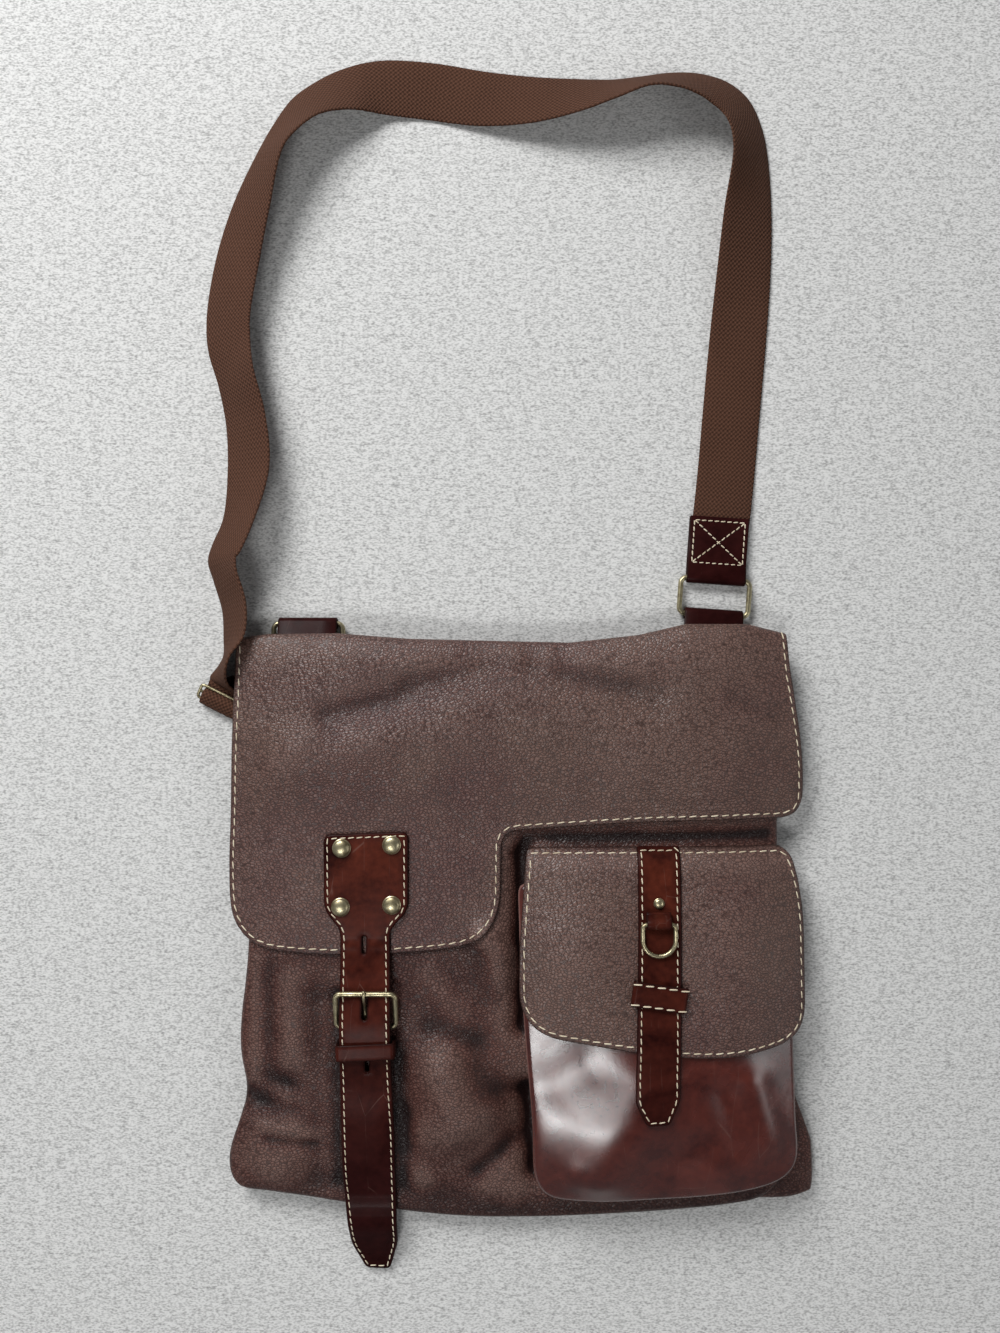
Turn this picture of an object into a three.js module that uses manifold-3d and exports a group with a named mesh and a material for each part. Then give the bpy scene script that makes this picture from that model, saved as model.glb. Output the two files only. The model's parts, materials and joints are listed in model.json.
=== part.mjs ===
// Leather messenger bag lying on its back: millimetres, +Z up from the surface it lies on,
// +X to the bag's right as seen from above, +Y towards the shoulder strap's far bend.
import * as THREE from 'three';
import { mergeVertices } from 'three/addons/utils/BufferGeometryUtils.js';
import Module from 'manifold-3d';

const wasm = await Module();
wasm.setup();

// Material thicknesses and clearances
const WALL = 2;
const BELT_WALL = 2.6;
const POCKET_STRAP_WALL = 2.2;
const KEEPER_WALL = 1.7;
const GUSSET_WALL = 1.6;
const WEBBING_WALL = 1.6;
const WEBBING_WIDTH = 38;
const GAP = 0.3;
const SEAM_GAP = 0.7;
const SEAM_MARGIN = 3;

// Leather layers share one square grid, so that a layer follows the facets of the one below it
const GRID = 18;
const CURVE_STEPS = 5;
const CUT_DEPTH = 200;
const MERGE_DISTANCE = 1e-4;

// Areas of the grid sheets before they are cut to their outlines, on lines of the grid
const SHEETS = {
  front: { west: -198, east: 216, south: -378, north: 0 },
  flap: { west: -180, east: 216, south: -198, north: 0 },
  belt: { west: -126, east: -36, south: -414, north: -90 },
  pocket: { west: 0, east: 198, south: -360, north: -126 },
  pocketFlap: { west: 0, east: 198, south: -252, north: -108 },
  pocketStrap: { west: 72, east: 126, south: -288, north: -108 },
};

// Body: heights of the front panel's underside over the surface
const BODY_LEFT = -168;
const BODY_RIGHT = 184;
const BODY_BOTTOM = -356;
const EDGE_HEIGHT = 14;
const MOUTH_LIFT = 6;
const MOUTH_LIFT_FROM = -110;
const MOUTH_LIFT_TO = -35;
const CROWN = 8;
const CROWN_REACH = 70;
const OVERHANG_DROOP = 2.5;

// Back panel: flat, then raised at the top over the strap fittings that lie under it
const BACK_RAISE = 9;
const BACK_RAISE_FROM = -100;
const BACK_RAISE_TO = -58;
const BACK_TOP = 12;
const BACK_BLANK = { width: 500, end: -400 };
const BACK_INSET = 0.975;
const BODY_MIDDLE = { x: 8, y: -170 };
const GUSSET_LEAD = 10;

// Main flap: sewn strip above the tabs, fold over the top, front layer
const TAB_WALL = 2;
const FLAP_STRIP_Z = BACK_RAISE + WALL + GAP + TAB_WALL + GAP;
const FLAP_STRIP_START = -15;
const FOLD_STEPS = 5;

// Seam between the front panel and the gusset, from the upper left round the bottom to the upper right.
// bulgeX and bulgeY push the gusset's middle fold in plan: inwards where it folds in, outwards at the lobe.
const BODY_SEAM = [
  { x: -162.5, y: -22, bulgeX: 4, bulgeY: 0 },
  { x: -162, y: -100, bulgeX: 8, bulgeY: 0 },
  { x: -161.8, y: -180, bulgeX: 8, bulgeY: 0 },
  { x: -167.5, y: -246, bulgeX: 8, bulgeY: 0 },
  { x: -163.3, y: -279, bulgeX: 8, bulgeY: 0 },
  { x: -175.6, y: -322, bulgeX: 7, bulgeY: 2 },
  { x: -171, y: -337.5, bulgeX: 4, bulgeY: 6 },
  { x: -148, y: -341.5, bulgeX: 0, bulgeY: 8 },
  { x: -30, y: -357, bulgeX: 0, bulgeY: 8 },
  { x: 83, y: -355.5, bulgeX: 0, bulgeY: 8 },
  { x: 150, y: -350, bulgeX: 3, bulgeY: 3 },
  { x: 172, y: -345, bulgeX: 14, bulgeY: -6 },
  { x: 181.5, y: -332, bulgeX: 25, bulgeY: -14 },
  { x: 183.5, y: -308, bulgeX: 23, bulgeY: -6 },
  { x: 182.5, y: -280, bulgeX: 12, bulgeY: 0 },
  { x: 181.5, y: -240, bulgeX: -5, bulgeY: 0 },
  { x: 180, y: -180, bulgeX: -8, bulgeY: 0 },
  { x: 178.5, y: -100, bulgeX: -8, bulgeY: 0 },
  { x: 176, y: -22, bulgeX: -4, bulgeY: 0 },
];

// Dents and folds of the body: each runs from one point to another, with its height and half width
const BODY_FOLDS = [
  { name: 'dark band on the flap', x1: -109, y1: -38, x2: 13, y2: 4, height: -3, spread: 13 },
  { name: 'dent at the flap top', x1: 26, y1: 0, x2: 96, y2: -18, height: -3, spread: 14 },
  { name: 'swell on the tongue', x1: -125, y1: -60, x2: -95, y2: -52, height: 3, spread: 24 },
  { name: 'swell on the flap', x1: 90, y1: -70, x2: 130, y2: -78, height: 3, spread: 26 },
  { name: 'ridge below the step', x1: -8, y1: -172, x2: 4, y2: -195, height: 4, spread: 12 },
  { name: 'valley left of the belt', x1: -116, y1: -215, x2: -116, y2: -330, height: -3, spread: 12 },
  { name: 'bulge right of the belt', x1: -38, y1: -255, x2: -34, y2: -295, height: 6, spread: 18 },
  { name: 'valley right of the belt', x1: -62, y1: -292, x2: -60, y2: -322, height: -3, spread: 11 },
  { name: 'hollow left of the pocket', x1: 4, y1: -275, x2: 8, y2: -312, height: -4, spread: 13 },
  { name: 'bump at the bottom', x1: -6, y1: -338, x2: 4, y2: -343, height: 3, spread: 12 },
  { name: 'pinch on the left', x1: -175, y1: -280, x2: -140, y2: -272, height: -4, spread: 13 },
  { name: 'lobe at the lower left', x1: -162, y1: -318, x2: -150, y2: -325, height: 4, spread: 18 },
];

// Flap outline: corners, each with the distance from it at which its rounding starts
const FLAP_OUTLINE = [
  { x: -170, y: 60, round: 1 },
  { x: -170, y: 12, round: 6 },
  { x: -176.5, y: -128, round: 18 },
  { x: -174.5, y: -181.5, round: 33 },
  { x: -85, y: -187.3, round: 50 },
  { x: 0, y: -177.5, round: 34 },
  { x: 1, y: -106, round: 11 },
  { x: 100, y: -99, round: 40 },
  { x: 197.5, y: -98, round: 18 },
  { x: 196.5, y: -60, round: 14 },
  { x: 184, y: 14, round: 8 },
  { x: 183, y: 60, round: 1 },
];

// How far the fold at the top of the flap reaches along the bag
const FLAP_FOLD = [
  { x: -180, reach: 17.5 },
  { x: -150, reach: 21 },
  { x: -105, reach: 21.5 },
  { x: -60, reach: 18 },
  { x: 45, reach: 15.5 },
  { x: 90, reach: 20.5 },
  { x: 120, reach: 27.5 },
  { x: 160, reach: 27.5 },
  { x: 195, reach: 19 },
];

// Closure strap: patch and belt in one
const BELT_OUTLINE = [
  { x: -113, y: -107.5, round: 5 },
  { x: -58.5, y: -105.5, round: 5 },
  { x: -58.7, y: -156.5, round: 6 },
  { x: -70.4, y: -168.5, round: 5 },
  { x: -66.8, y: -377, round: 6 },
  { x: -72.8, y: -399.5, round: 3 },
  { x: -89, y: -398.5, round: 3 },
  { x: -97.8, y: -379, round: 6 },
  { x: -101.8, y: -335, round: 12 },
  { x: -102.2, y: -168.5, round: 5 },
  { x: -112.7, y: -156, round: 6 },
];
const BELT_FLAP_END = -185;
const BELT_ROUTE = [
  { y: -198, rise: 4.4 },
  { y: -216, rise: 8 },
  { y: -234, rise: 10.2 },
  { y: -252, rise: 7.2 },
  { y: -270, rise: 3.8 },
  { y: -288, rise: 2.6 },
  { y: -306, rise: 0 },
];
const BELT_DROP = [
  { y: -360, height: 16.6 },
  { y: -378, height: 7.5 },
  { y: -396, height: 0.8 },
  { y: -414, height: 0.3 },
];
const BELT_DROP_FROM = -352;
const SLOT_LENGTH = 11;
const SLOT_WIDTH = 2.4;
const SLOTS = [
  { x: -87, y: -178 },
  { x: -84.5, y: -252 },
];
const PRONG_SLOT = { x: -86, y: -216.8, length: 15, width: 3.4 };
const STRAP_RIVETS = [
  { x: -101.2, y: -116 },
  { x: -69.2, y: -114 },
  { x: -101.9, y: -153.6 },
  { x: -69.2, y: -152.4 },
];
const RIVET_RADIUS = 6;
const RIVET_HEIGHT = 3;
const RIVET_RIM_SHARE = 0.3;
const RIVET_SIDES = 12;
const WIRE_SIDES = 8;
const WIRE_CORNER_STEPS = 3;

// Buckle
const BUCKLE_X = -85.5;
const BUCKLE_WIRE = 1.7;
const BUCKLE_WIDTH = 38;
const BUCKLE_CORNER = 3.5;
const TOP_BAR_Y = -207.4;
const PIVOT_BAR_Y = -230.4;
const PRONG_RADIUS = 0.95;
const PRONG_STEPS = 18;
const PRONG_HOOK = { start: 120, sweep: 230, steps: 7 };
const PRONG_RISE = [
  { pastPivot: 6, overPivot: 1.2 },
  { pastPivot: 12.9, overPivot: 3 },
];
const PRONG_REST = [
  { pastTop: -3, drop: 0.8 },
  { pastTop: 0, drop: 0 },
  { pastTop: 4.1, drop: 0.4 },
];
const LOOP_RETURN_SHARE = 1.6;
const CHAPE_WIDTH = 27;
const CHAPE_END = -276;
const CHAPE_LOOP_END = -246;
const CHAPE_SEAT_MARGIN = 4;
const CHAPE_SLOT = { x: 0, y: PIVOT_BAR_Y, length: 13, width: 5 };
const KEEPER_BEVEL = 1.2;
const KEEPER_SEAT_MARGIN = 2;
const BUCKLE_KEEPER = { x: -85.3, y: -243.6, width: 37.6, length: 10.4, turn: 2.5 };

// Pocket: height of its front over the front panel, by rows down the pocket
const POCKET_LEFT = 11;
const POCKET_RIGHT = 192;
const POCKET_BOTTOM = -344;
const POCKET_MOUTH = -138;
const POCKET_EDGE_SHARE = 0.6;
const POCKET_REACH = 45;
const POCKET_DEPTH = [
  { y: -120, depth: 6 },
  { y: -165, depth: 13 },
  { y: -225, depth: 18 },
  { y: -345, depth: 18 },
];
const POCKET_SEAM = [
  { x: 14, y: -141, bulgeX: 2, bulgeY: 0 },
  { x: 17, y: -215, bulgeX: 4, bulgeY: 0 },
  { x: 23, y: -290, bulgeX: 4, bulgeY: 0 },
  { x: 24.6, y: -324, bulgeX: 3, bulgeY: 2 },
  { x: 31, y: -336, bulgeX: 2, bulgeY: 4 },
  { x: 55, y: -339.6, bulgeX: 0, bulgeY: 4 },
  { x: 124, y: -336.4, bulgeX: 0, bulgeY: 4 },
  { x: 178, y: -326.4, bulgeX: -1, bulgeY: 4 },
  { x: 187.8, y: -317, bulgeX: -3, bulgeY: 3 },
  { x: 187, y: -290, bulgeX: -4, bulgeY: 0 },
  { x: 185, y: -235, bulgeX: -4, bulgeY: 0 },
  { x: 182, y: -141, bulgeX: -2, bulgeY: 0 },
];
const POCKET_FLAP_OUTLINE = [
  { x: 17, y: -116.8, round: 4 },
  { x: 186, y: -116.4, round: 10 },
  { x: 194.8, y: -148, round: 20 },
  { x: 195.4, y: -236.5, round: 22 },
  { x: 138, y: -246.4, round: 28 },
  { x: 85, y: -240.8, round: 20 },
  { x: 12.8, y: -229.4, round: 26 },
  { x: 11.8, y: -185, round: 14 },
];
const POCKET_FLAP_SEWN = -108;
const PILLOW_HEIGHT = 5;
const PILLOW_REACH = 30;
const PILLOW_SLIMNESS = 0.7;
const PILLOWS = [
  { x: 49, y: -181 },
  { x: 152, y: -185 },
];

// Pocket strap and its fittings
const POCKET_STRAP_OUTLINE = [
  { x: 87.2, y: -115.8, round: 1 },
  { x: 114.4, y: -115.8, round: 1 },
  { x: 112.2, y: -270.5, round: 3 },
  { x: 105.6, y: -285.6, round: 3 },
  { x: 91, y: -285.6, round: 3 },
  { x: 84.2, y: -271.5, round: 3 },
];
const POCKET_STRAP_ON_FLAP = -252;
const POCKET_RIVET = { x: 99.6, y: -148.4, radius: 3.4, height: 2 };
const POCKET_KEEPER = { x: 99.2, y: -205.2, width: 34.4, length: 16, turn: -8 };
const RING_X = 99;
const RING_BAR_Y = -160.6;
const RING_FAR_Y = -180.2;
const RING_WIDTH = 20.4;
const RING_WIRE = 1.4;
const RING_BAR_CORNER = 2.4;
const RING_FAR_FLAT = 0.1;
const RING_CORNER_STEPS = 4;
const RING_LOOP_WIDTH = 15.6;
const RING_LOOP_END = -153.4;
const RING_LOOP_RETURN = -155;
const RING_LOOP_WALL = 1.4;

// Shoulder strap fittings
const STRAP_WIRE = 1.7;
const STRAP_RING_WIDTH = 45.6;
const STRAP_RING_LENGTH = 23.6;
const STRAP_RING_CORNER = 4;
const STRAP_RING_Z = 4.5;
const TAB_WIDTH = 39;
const TAB_CLEARANCE = 0.35;
const TAB_SEWN_Y = -12;
const TAB_BEND = { outer: 2, inner: 1 };
const TAB_DROP = { before: 2, over: 1 };
const TAB_LOOP = { start: 205, sweep: 235, steps: 10 };
const RIGHT_FITTING = { x: 142, y: 46, turn: -4 };
const LEFT_RING = { x: -127, y: 28.5 };
const END_TAB_LENGTH = 41;
const END_TAB_WALL = 1.5;
const END_TAB_SLOT_START = 3;
const END_TAB_LOOP = { start: 80, sweep: 200, steps: 8 };
const SLIDER = { x: -177.2, y: -21, across: -26 };
const SLIDER_WIRE = 1;
const SLIDER_WIDTH = 43.4;
const SLIDER_CORNER = 2;
const SLIDER_BAR_STEP = 4.6;
const SLIDER_FRONT_Z = 6.2;
const SLIDER_REAR_Z = 3.7;
const UNDER_STRAP_Z = 1.45;

// Shoulder strap route: its outer edge, and how far the webbing leans up from flat.
// Its first rows rise into the leather end.
const STRAP_END_RISE = 1.8;
const STRAP_END_ROWS = 2;
const STRAP_ROUTE = [
  { x: 164.6, y: 86, lean: 0 },
  { x: 166.6, y: 103, lean: 0 },
  { x: 169.5, y: 128, lean: 0 },
  { x: 172, y: 157, lean: 0 },
  { x: 177, y: 215, lean: 2 },
  { x: 180, y: 260, lean: 12 },
  { x: 180.5, y: 300, lean: 25 },
  { x: 178, y: 337, lean: 42 },
  { x: 174, y: 358, lean: 42 },
  { x: 165.5, y: 376.5, lean: 38 },
  { x: 152, y: 388, lean: 38 },
  { x: 133, y: 394, lean: 43 },
  { x: 113, y: 394.5, lean: 50 },
  { x: 94, y: 392, lean: 55 },
  { x: 74, y: 390, lean: 47 },
  { x: 54, y: 390.5, lean: 34 },
  { x: 24, y: 392, lean: 18 },
  { x: -8, y: 395.5, lean: 5 },
  { x: -45, y: 401.5, lean: 0 },
  { x: -80, y: 403, lean: 6 },
  { x: -104, y: 397.5, lean: 20 },
  { x: -122, y: 389, lean: 30 },
  { x: -138, y: 377.5, lean: 37 },
  { x: -150, y: 361, lean: 45 },
  { x: -160, y: 343.5, lean: 50 },
  { x: -177, y: 308, lean: 36 },
  { x: -189, y: 270, lean: 28 },
  { x: -195, y: 232, lean: 29 },
  { x: -194, y: 210, lean: 31 },
  { x: -187, y: 186, lean: 40 },
  { x: -182, y: 160, lean: 36 },
  { x: -181, y: 130, lean: 33 },
  { x: -184, y: 98, lean: 46 },
  { x: -191.5, y: 80, lean: 48 },
  { x: -194, y: 70, lean: 48 },
  { x: -190, y: 56, lean: 53 },
  { x: -184.5, y: 37, lean: 53 },
  { x: -183.5, y: 19, lean: 57 },
];

// The cupped twist beside the flap: lower and upper edge of the webbing
const STRAP_TWIST = [
  { lowX: -183.5, lowY: 7, lowZ: 1.1, highX: -171, highY: 7, highZ: 36 },
  { lowX: -187, lowY: 0, lowZ: 1.2, highX: -174.5, highY: -3.5, highZ: 33 },
  { lowX: -192.5, lowY: -7, lowZ: 2, highX: -175, highY: -13, highZ: 20 },
];

// The strap through the slider: distance past its first bar, and height of the webbing's middle
const SLIDER_PASS = [
  { along: -4, z: 4 },
  { along: 0, z: 3.4 },
  { along: SLIDER_BAR_STEP, z: 7.5 },
  { along: 2 * SLIDER_BAR_STEP, z: 6.05 },
  { along: 11.4, z: 3.7 },
  { along: 2 * SLIDER_BAR_STEP, z: UNDER_STRAP_Z },
  { along: 3, z: UNDER_STRAP_Z },
];

// The strap under the bag to the left ring: middle of the webbing and the direction across it
const UNDER_BAG = [
  { x: -163, y: -14, z: UNDER_STRAP_Z, across: -22 },
  { x: -143, y: -7, z: UNDER_STRAP_Z, across: -9 },
  { x: -128, y: -2, z: UNDER_STRAP_Z, across: 0 },
];
const STRAP_SUBSTEPS = 2;
const STRAP_TAIL = 12;
const STRAP_TAIL_DROP = 0.6;

const COLOURS = {
  pebbled: { color: '#5d4640', roughness: 0.55, metalness: 0 },
  smooth: { color: '#4b1f1b', roughness: 0.3, metalness: 0 },
  belt: { color: '#3f1715', roughness: 0.32, metalness: 0 },
  webbing: { color: '#6b402e', roughness: 0.9, metalness: 0 },
  brass: { color: '#7d6f4b', roughness: 0.4, metalness: 1 },
};

const bag = new THREE.Group();

// Shared helpers: scalars

function ramp(value, from, to) {
  const share = THREE.MathUtils.clamp((value - from) / (to - from), 0, 1);
  return share * share * (3 - 2 * share);
}

function dome(distance, reach) {
  const rest = 1 - THREE.MathUtils.clamp(distance / reach, 0, 1);
  return 1 - rest * rest;
}

// Straight-line value between the rows of a table, held at its ends
function tableValue(rows, key, value, at) {
  const sorted = [...rows].sort((first, second) => first[key] - second[key]);
  const next = sorted.findIndex((row) => row[key] >= at);
  if (next === 0) return sorted[0][value];
  if (next < 0) return sorted.at(-1)[value];
  const low = sorted[next - 1];
  const high = sorted[next];
  return THREE.MathUtils.mapLinear(at, low[key], high[key], low[value], high[value]);
}

function foldHeight(fold, x, y) {
  const start = new THREE.Vector3(fold.x1, fold.y1, 0);
  const end = new THREE.Vector3(fold.x2, fold.y2, 0);
  const point = new THREE.Vector3(x, y, 0);
  const nearest = new THREE.Line3(start, end).closestPointToPoint(point, true, new THREE.Vector3());
  return fold.height * Math.exp(-((nearest.distanceTo(point) / fold.spread) ** 2));
}

// Shared helpers: solids

function barePositions(geometry) {
  const bare = geometry.index ? geometry.clone() : geometry;
  bare.deleteAttribute('normal');
  bare.deleteAttribute('uv');
  return mergeVertices(bare, MERGE_DISTANCE);
}

function toManifold(geometry) {
  const merged = barePositions(geometry);
  return new wasm.Manifold(new wasm.Mesh({
    numProp: 3,
    vertProperties: new Float32Array(merged.attributes.position.array),
    triVerts: new Uint32Array(merged.index.array),
  }));
}

function toGeometry(solid) {
  const mesh = solid.getMesh();
  const geometry = new THREE.BufferGeometry();
  geometry.setAttribute('position', new THREE.BufferAttribute(mesh.vertProperties, mesh.numProp));
  geometry.setIndex(new THREE.BufferAttribute(mesh.triVerts, 1));
  return geometry;
}

function signedVolume(positions, triangles) {
  let volume = 0;
  for (let corner = 0; corner < triangles.length; corner += 3) {
    const [first, second, third] = triangles.slice(corner, corner + 3).map((index) => positions[index]);
    volume += first.dot(second.clone().cross(third)) / 6;
  }
  return volume;
}

// Closed wall between two lattices of points, inner and outer, given as rows of { inner, outer }
function wallSolid(rows) {
  const columns = rows[0].length;
  const cells = rows.flat();
  const positions = [...cells.map((cell) => cell.inner), ...cells.map((cell) => cell.outer)];
  const outerStart = cells.length;
  const triangles = [];
  const quad = (first, second, third, fourth) => {
    triangles.push(first, second, third, first, third, fourth);
  };
  for (let row = 0; row < rows.length - 1; row += 1) {
    for (let column = 0; column < columns - 1; column += 1) {
      const here = row * columns + column;
      const above = here + columns;
      quad(outerStart + here, outerStart + here + 1, outerStart + above + 1, outerStart + above);
      triangles.push(here, above + 1, here + 1, here, above, above + 1);
    }
  }
  const rim = [];
  for (let column = 0; column < columns - 1; column += 1) rim.push(column);
  for (let row = 0; row < rows.length - 1; row += 1) rim.push(row * columns + columns - 1);
  for (let column = columns - 1; column > 0; column -= 1) rim.push((rows.length - 1) * columns + column);
  for (let row = rows.length - 1; row > 0; row -= 1) rim.push(row * columns);
  rim.forEach((start, index) => {
    const end = rim[(index + 1) % rim.length];
    quad(start, end, outerStart + end, outerStart + start);
  });
  if (signedVolume(positions, triangles) < 0) triangles.reverse();
  const coordinates = positions.flatMap((point) => point.toArray());
  const geometry = new THREE.BufferGeometry();
  geometry.setAttribute('position', new THREE.Float32BufferAttribute(coordinates, 3));
  geometry.setIndex(triangles);
  return geometry;
}

function sheetCell(x, y, height, wall) {
  return { inner: new THREE.Vector3(x, y, height), outer: new THREE.Vector3(x, y, height + wall) };
}

// Sheet on the shared grid, from its underside's height function
function gridSheet(under, wall, area) {
  const rows = [];
  for (let y = area.south; y <= area.north; y += GRID) {
    const row = [];
    for (let x = area.west; x <= area.east; x += GRID) {
      row.push(sheetCell(x, y, under(x, y), wall));
    }
    rows.push(row);
  }
  return wallSolid(rows);
}

// Height of a grid sheet's facet above any point
function facetHeight(height, x, y) {
  const west = Math.floor(x / GRID) * GRID;
  const south = Math.floor(y / GRID) * GRID;
  const across = (x - west) / GRID;
  const up = (y - south) / GRID;
  const start = height(west, south);
  const far = height(west + GRID, south + GRID);
  if (across >= up) {
    const corner = height(west + GRID, south);
    return start + across * (corner - start) + up * (far - corner);
  }
  const corner = height(west, south + GRID);
  return start + up * (corner - start) + across * (far - corner);
}

// Highest facet under a rectangular footprint
function seatHeight(height, x, y, halfWidth, halfLength) {
  const samples = 6;
  let highest = -Infinity;
  for (let column = -samples; column <= samples; column += 1) {
    for (let row = -samples; row <= samples; row += 1) {
      const atX = x + (halfWidth * column) / samples;
      const atY = y + (halfLength * row) / samples;
      highest = Math.max(highest, facetHeight(height, atX, atY));
    }
  }
  return highest;
}

// Closed outline whose corners are rounded from the given distance
function outlineShape(corners) {
  const points = corners.map((corner) => new THREE.Vector2(corner.x, corner.y));
  const shape = new THREE.Shape();
  corners.forEach((corner, index) => {
    const here = points[index];
    const before = points.at(index - 1);
    const after = points[(index + 1) % points.length];
    const start = here.clone().lerp(before, corner.round / here.distanceTo(before));
    const end = here.clone().lerp(after, corner.round / here.distanceTo(after));
    if (index === 0) shape.moveTo(start.x, start.y);
    else shape.lineTo(start.x, start.y);
    shape.quadraticCurveTo(here.x, here.y, end.x, end.y);
  });
  shape.closePath();
  return shape;
}

function extruded(profile, depth) {
  return new THREE.ExtrudeGeometry(profile, { depth, bevelEnabled: false, curveSegments: CURVE_STEPS });
}

// A layer cut to its outline by an upright prism through the whole bag
function cutToOutline(sheet, shape) {
  const prism = extruded(shape, CUT_DEPTH).translate(0, 0, -CUT_DEPTH / 4);
  return toManifold(sheet).intersect(toManifold(prism));
}

function cutSlot(solid, slot, length, width) {
  const box = new THREE.BoxGeometry(width, length, CUT_DEPTH).translate(slot.x, slot.y, 0);
  return solid.subtract(toManifold(box));
}

// Profile drawn in the plane of Y and Z, extruded along X and centred on it
function extrudeAcross(profile, width) {
  const solid = extruded(profile, width);
  const turn = new THREE.Matrix4().makeBasis(
    new THREE.Vector3(0, 1, 0),
    new THREE.Vector3(0, 0, 1),
    new THREE.Vector3(1, 0, 0),
  );
  return solid.applyMatrix4(turn).translate(-width / 2, 0, 0);
}

// Profile drawn in the plane of X and Z, extruded along Y and centred on it
function extrudeAlong(profile, length) {
  return extruded(profile, length).rotateX(Math.PI / 2).translate(0, length / 2, 0);
}

function addPiece(name, geometry, colour, parent = bag) {
  const mesh = new THREE.Mesh(geometry, new THREE.MeshStandardMaterial(COLOURS[colour]));
  mesh.name = name;
  parent.add(mesh);
  return mesh;
}

// Closed loop of wire lying in the plane of X and Y: straight bars and rounded corners.
// The corners at the near side (low Y) and the far side have their own radii.
class WireLoop extends THREE.Curve {
  constructor(width, length, nearRadius, farRadius, cornerSteps) {
    super();
    this.cornerSteps = cornerSteps;
    this.corners = [
      { x: width / 2 - nearRadius, y: -length / 2 + nearRadius, radius: nearRadius, start: -Math.PI / 2 },
      { x: width / 2 - farRadius, y: length / 2 - farRadius, radius: farRadius, start: 0 },
      { x: -width / 2 + farRadius, y: length / 2 - farRadius, radius: farRadius, start: Math.PI / 2 },
      { x: -width / 2 + nearRadius, y: -length / 2 + nearRadius, radius: nearRadius, start: Math.PI },
    ];
  }

  get stations() {
    return this.corners.length * (this.cornerSteps + 1);
  }

  cornerAngle(share) {
    const station = Math.round(share * this.stations) % this.stations;
    const corner = this.corners[Math.floor(station / (this.cornerSteps + 1))];
    const step = station % (this.cornerSteps + 1);
    return { corner, angle: corner.start + (step / this.cornerSteps) * (Math.PI / 2) };
  }

  getPointAt(share, target = new THREE.Vector3()) {
    const { corner, angle } = this.cornerAngle(share);
    const x = corner.x + corner.radius * Math.cos(angle);
    const y = corner.y + corner.radius * Math.sin(angle);
    return target.set(x, y, 0);
  }

  getTangentAt(share, target = new THREE.Vector3()) {
    const { angle } = this.cornerAngle(share);
    return target.set(-Math.sin(angle), Math.cos(angle), 0);
  }
}

function wireLoop(width, length, nearRadius, farRadius, wire, cornerSteps = WIRE_CORNER_STEPS) {
  const curve = new WireLoop(width, length, nearRadius, farRadius, cornerSteps);
  return barePositions(new THREE.TubeGeometry(curve, curve.stations, wire, WIRE_SIDES, true));
}

// Domed rivet head with a short rim
function rivetHead(radius, height) {
  const rim = height * RIVET_RIM_SHARE;
  const profile = [new THREE.Vector2(0, 0), new THREE.Vector2(radius, 0), new THREE.Vector2(radius, rim)];
  const domeSteps = 3;
  for (let step = 1; step <= domeSteps; step += 1) {
    const angle = (step / domeSteps) * (Math.PI / 2);
    const out = step === domeSteps ? 0 : radius * Math.cos(angle);
    profile.push(new THREE.Vector2(out, rim + (height - rim) * Math.sin(angle)));
  }
  return new THREE.LatheGeometry(profile, RIVET_SIDES).rotateX(Math.PI / 2);
}

// Open arch with square shoulders, standing on its two legs
function keeperArch(keeper, legHeight) {
  const half = keeper.width / 2;
  const inner = half - KEEPER_WALL;
  const profile = new THREE.Shape();
  profile.moveTo(-half, 0);
  profile.lineTo(-inner, 0);
  profile.lineTo(-inner, legHeight);
  profile.lineTo(inner, legHeight);
  profile.lineTo(inner, 0);
  profile.lineTo(half, 0);
  profile.lineTo(half, legHeight + KEEPER_WALL - KEEPER_BEVEL);
  profile.lineTo(half - KEEPER_BEVEL, legHeight + KEEPER_WALL);
  profile.lineTo(-half + KEEPER_BEVEL, legHeight + KEEPER_WALL);
  profile.lineTo(-half, legHeight + KEEPER_WALL - KEEPER_BEVEL);
  return extrudeAlong(profile, keeper.length);
}

// Layer heights: undersides and tops, from the surface up

function frontUnder(x, y) {
  const side = Math.min(x - BODY_LEFT, BODY_RIGHT - x);
  const edge = EDGE_HEIGHT + MOUTH_LIFT * ramp(y, MOUTH_LIFT_FROM, MOUTH_LIFT_TO);
  const crown = CROWN * dome(side, CROWN_REACH) * dome(y - BODY_BOTTOM, CROWN_REACH);
  const inside = ramp(side, -GRID, GRID) * ramp(y - BODY_BOTTOM, -GRID, GRID);
  const folds = BODY_FOLDS.reduce((sum, fold) => sum + foldHeight(fold, x, y), 0);
  return edge + crown + folds * inside - (side < -GRID / 2 ? OVERHANG_DROOP : 0);
}

const frontTop = (x, y) => frontUnder(x, y) + WALL;
const flapUnder = (x, y) => frontTop(x, y) + GAP;
const flapTop = (x, y) => flapUnder(x, y) + WALL;

function beltUnder(x, y) {
  if (y >= BELT_FLAP_END) return flapTop(x, y) + GAP;
  if (y < BELT_DROP_FROM) return tableValue(BELT_DROP, 'y', 'height', y);
  return frontTop(x, y) + GAP + tableValue(BELT_ROUTE, 'y', 'rise', y);
}

const beltTop = (x, y) => beltUnder(x, y) + BELT_WALL;

function pocketUnder(x, y) {
  const side = Math.min(x - POCKET_LEFT, POCKET_RIGHT - x, y - POCKET_BOTTOM);
  const share = POCKET_EDGE_SHARE + (1 - POCKET_EDGE_SHARE) * dome(side, POCKET_REACH);
  return frontTop(x, y) + tableValue(POCKET_DEPTH, 'y', 'depth', y) * share;
}

const pocketTop = (x, y) => pocketUnder(x, y) + WALL;

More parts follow.
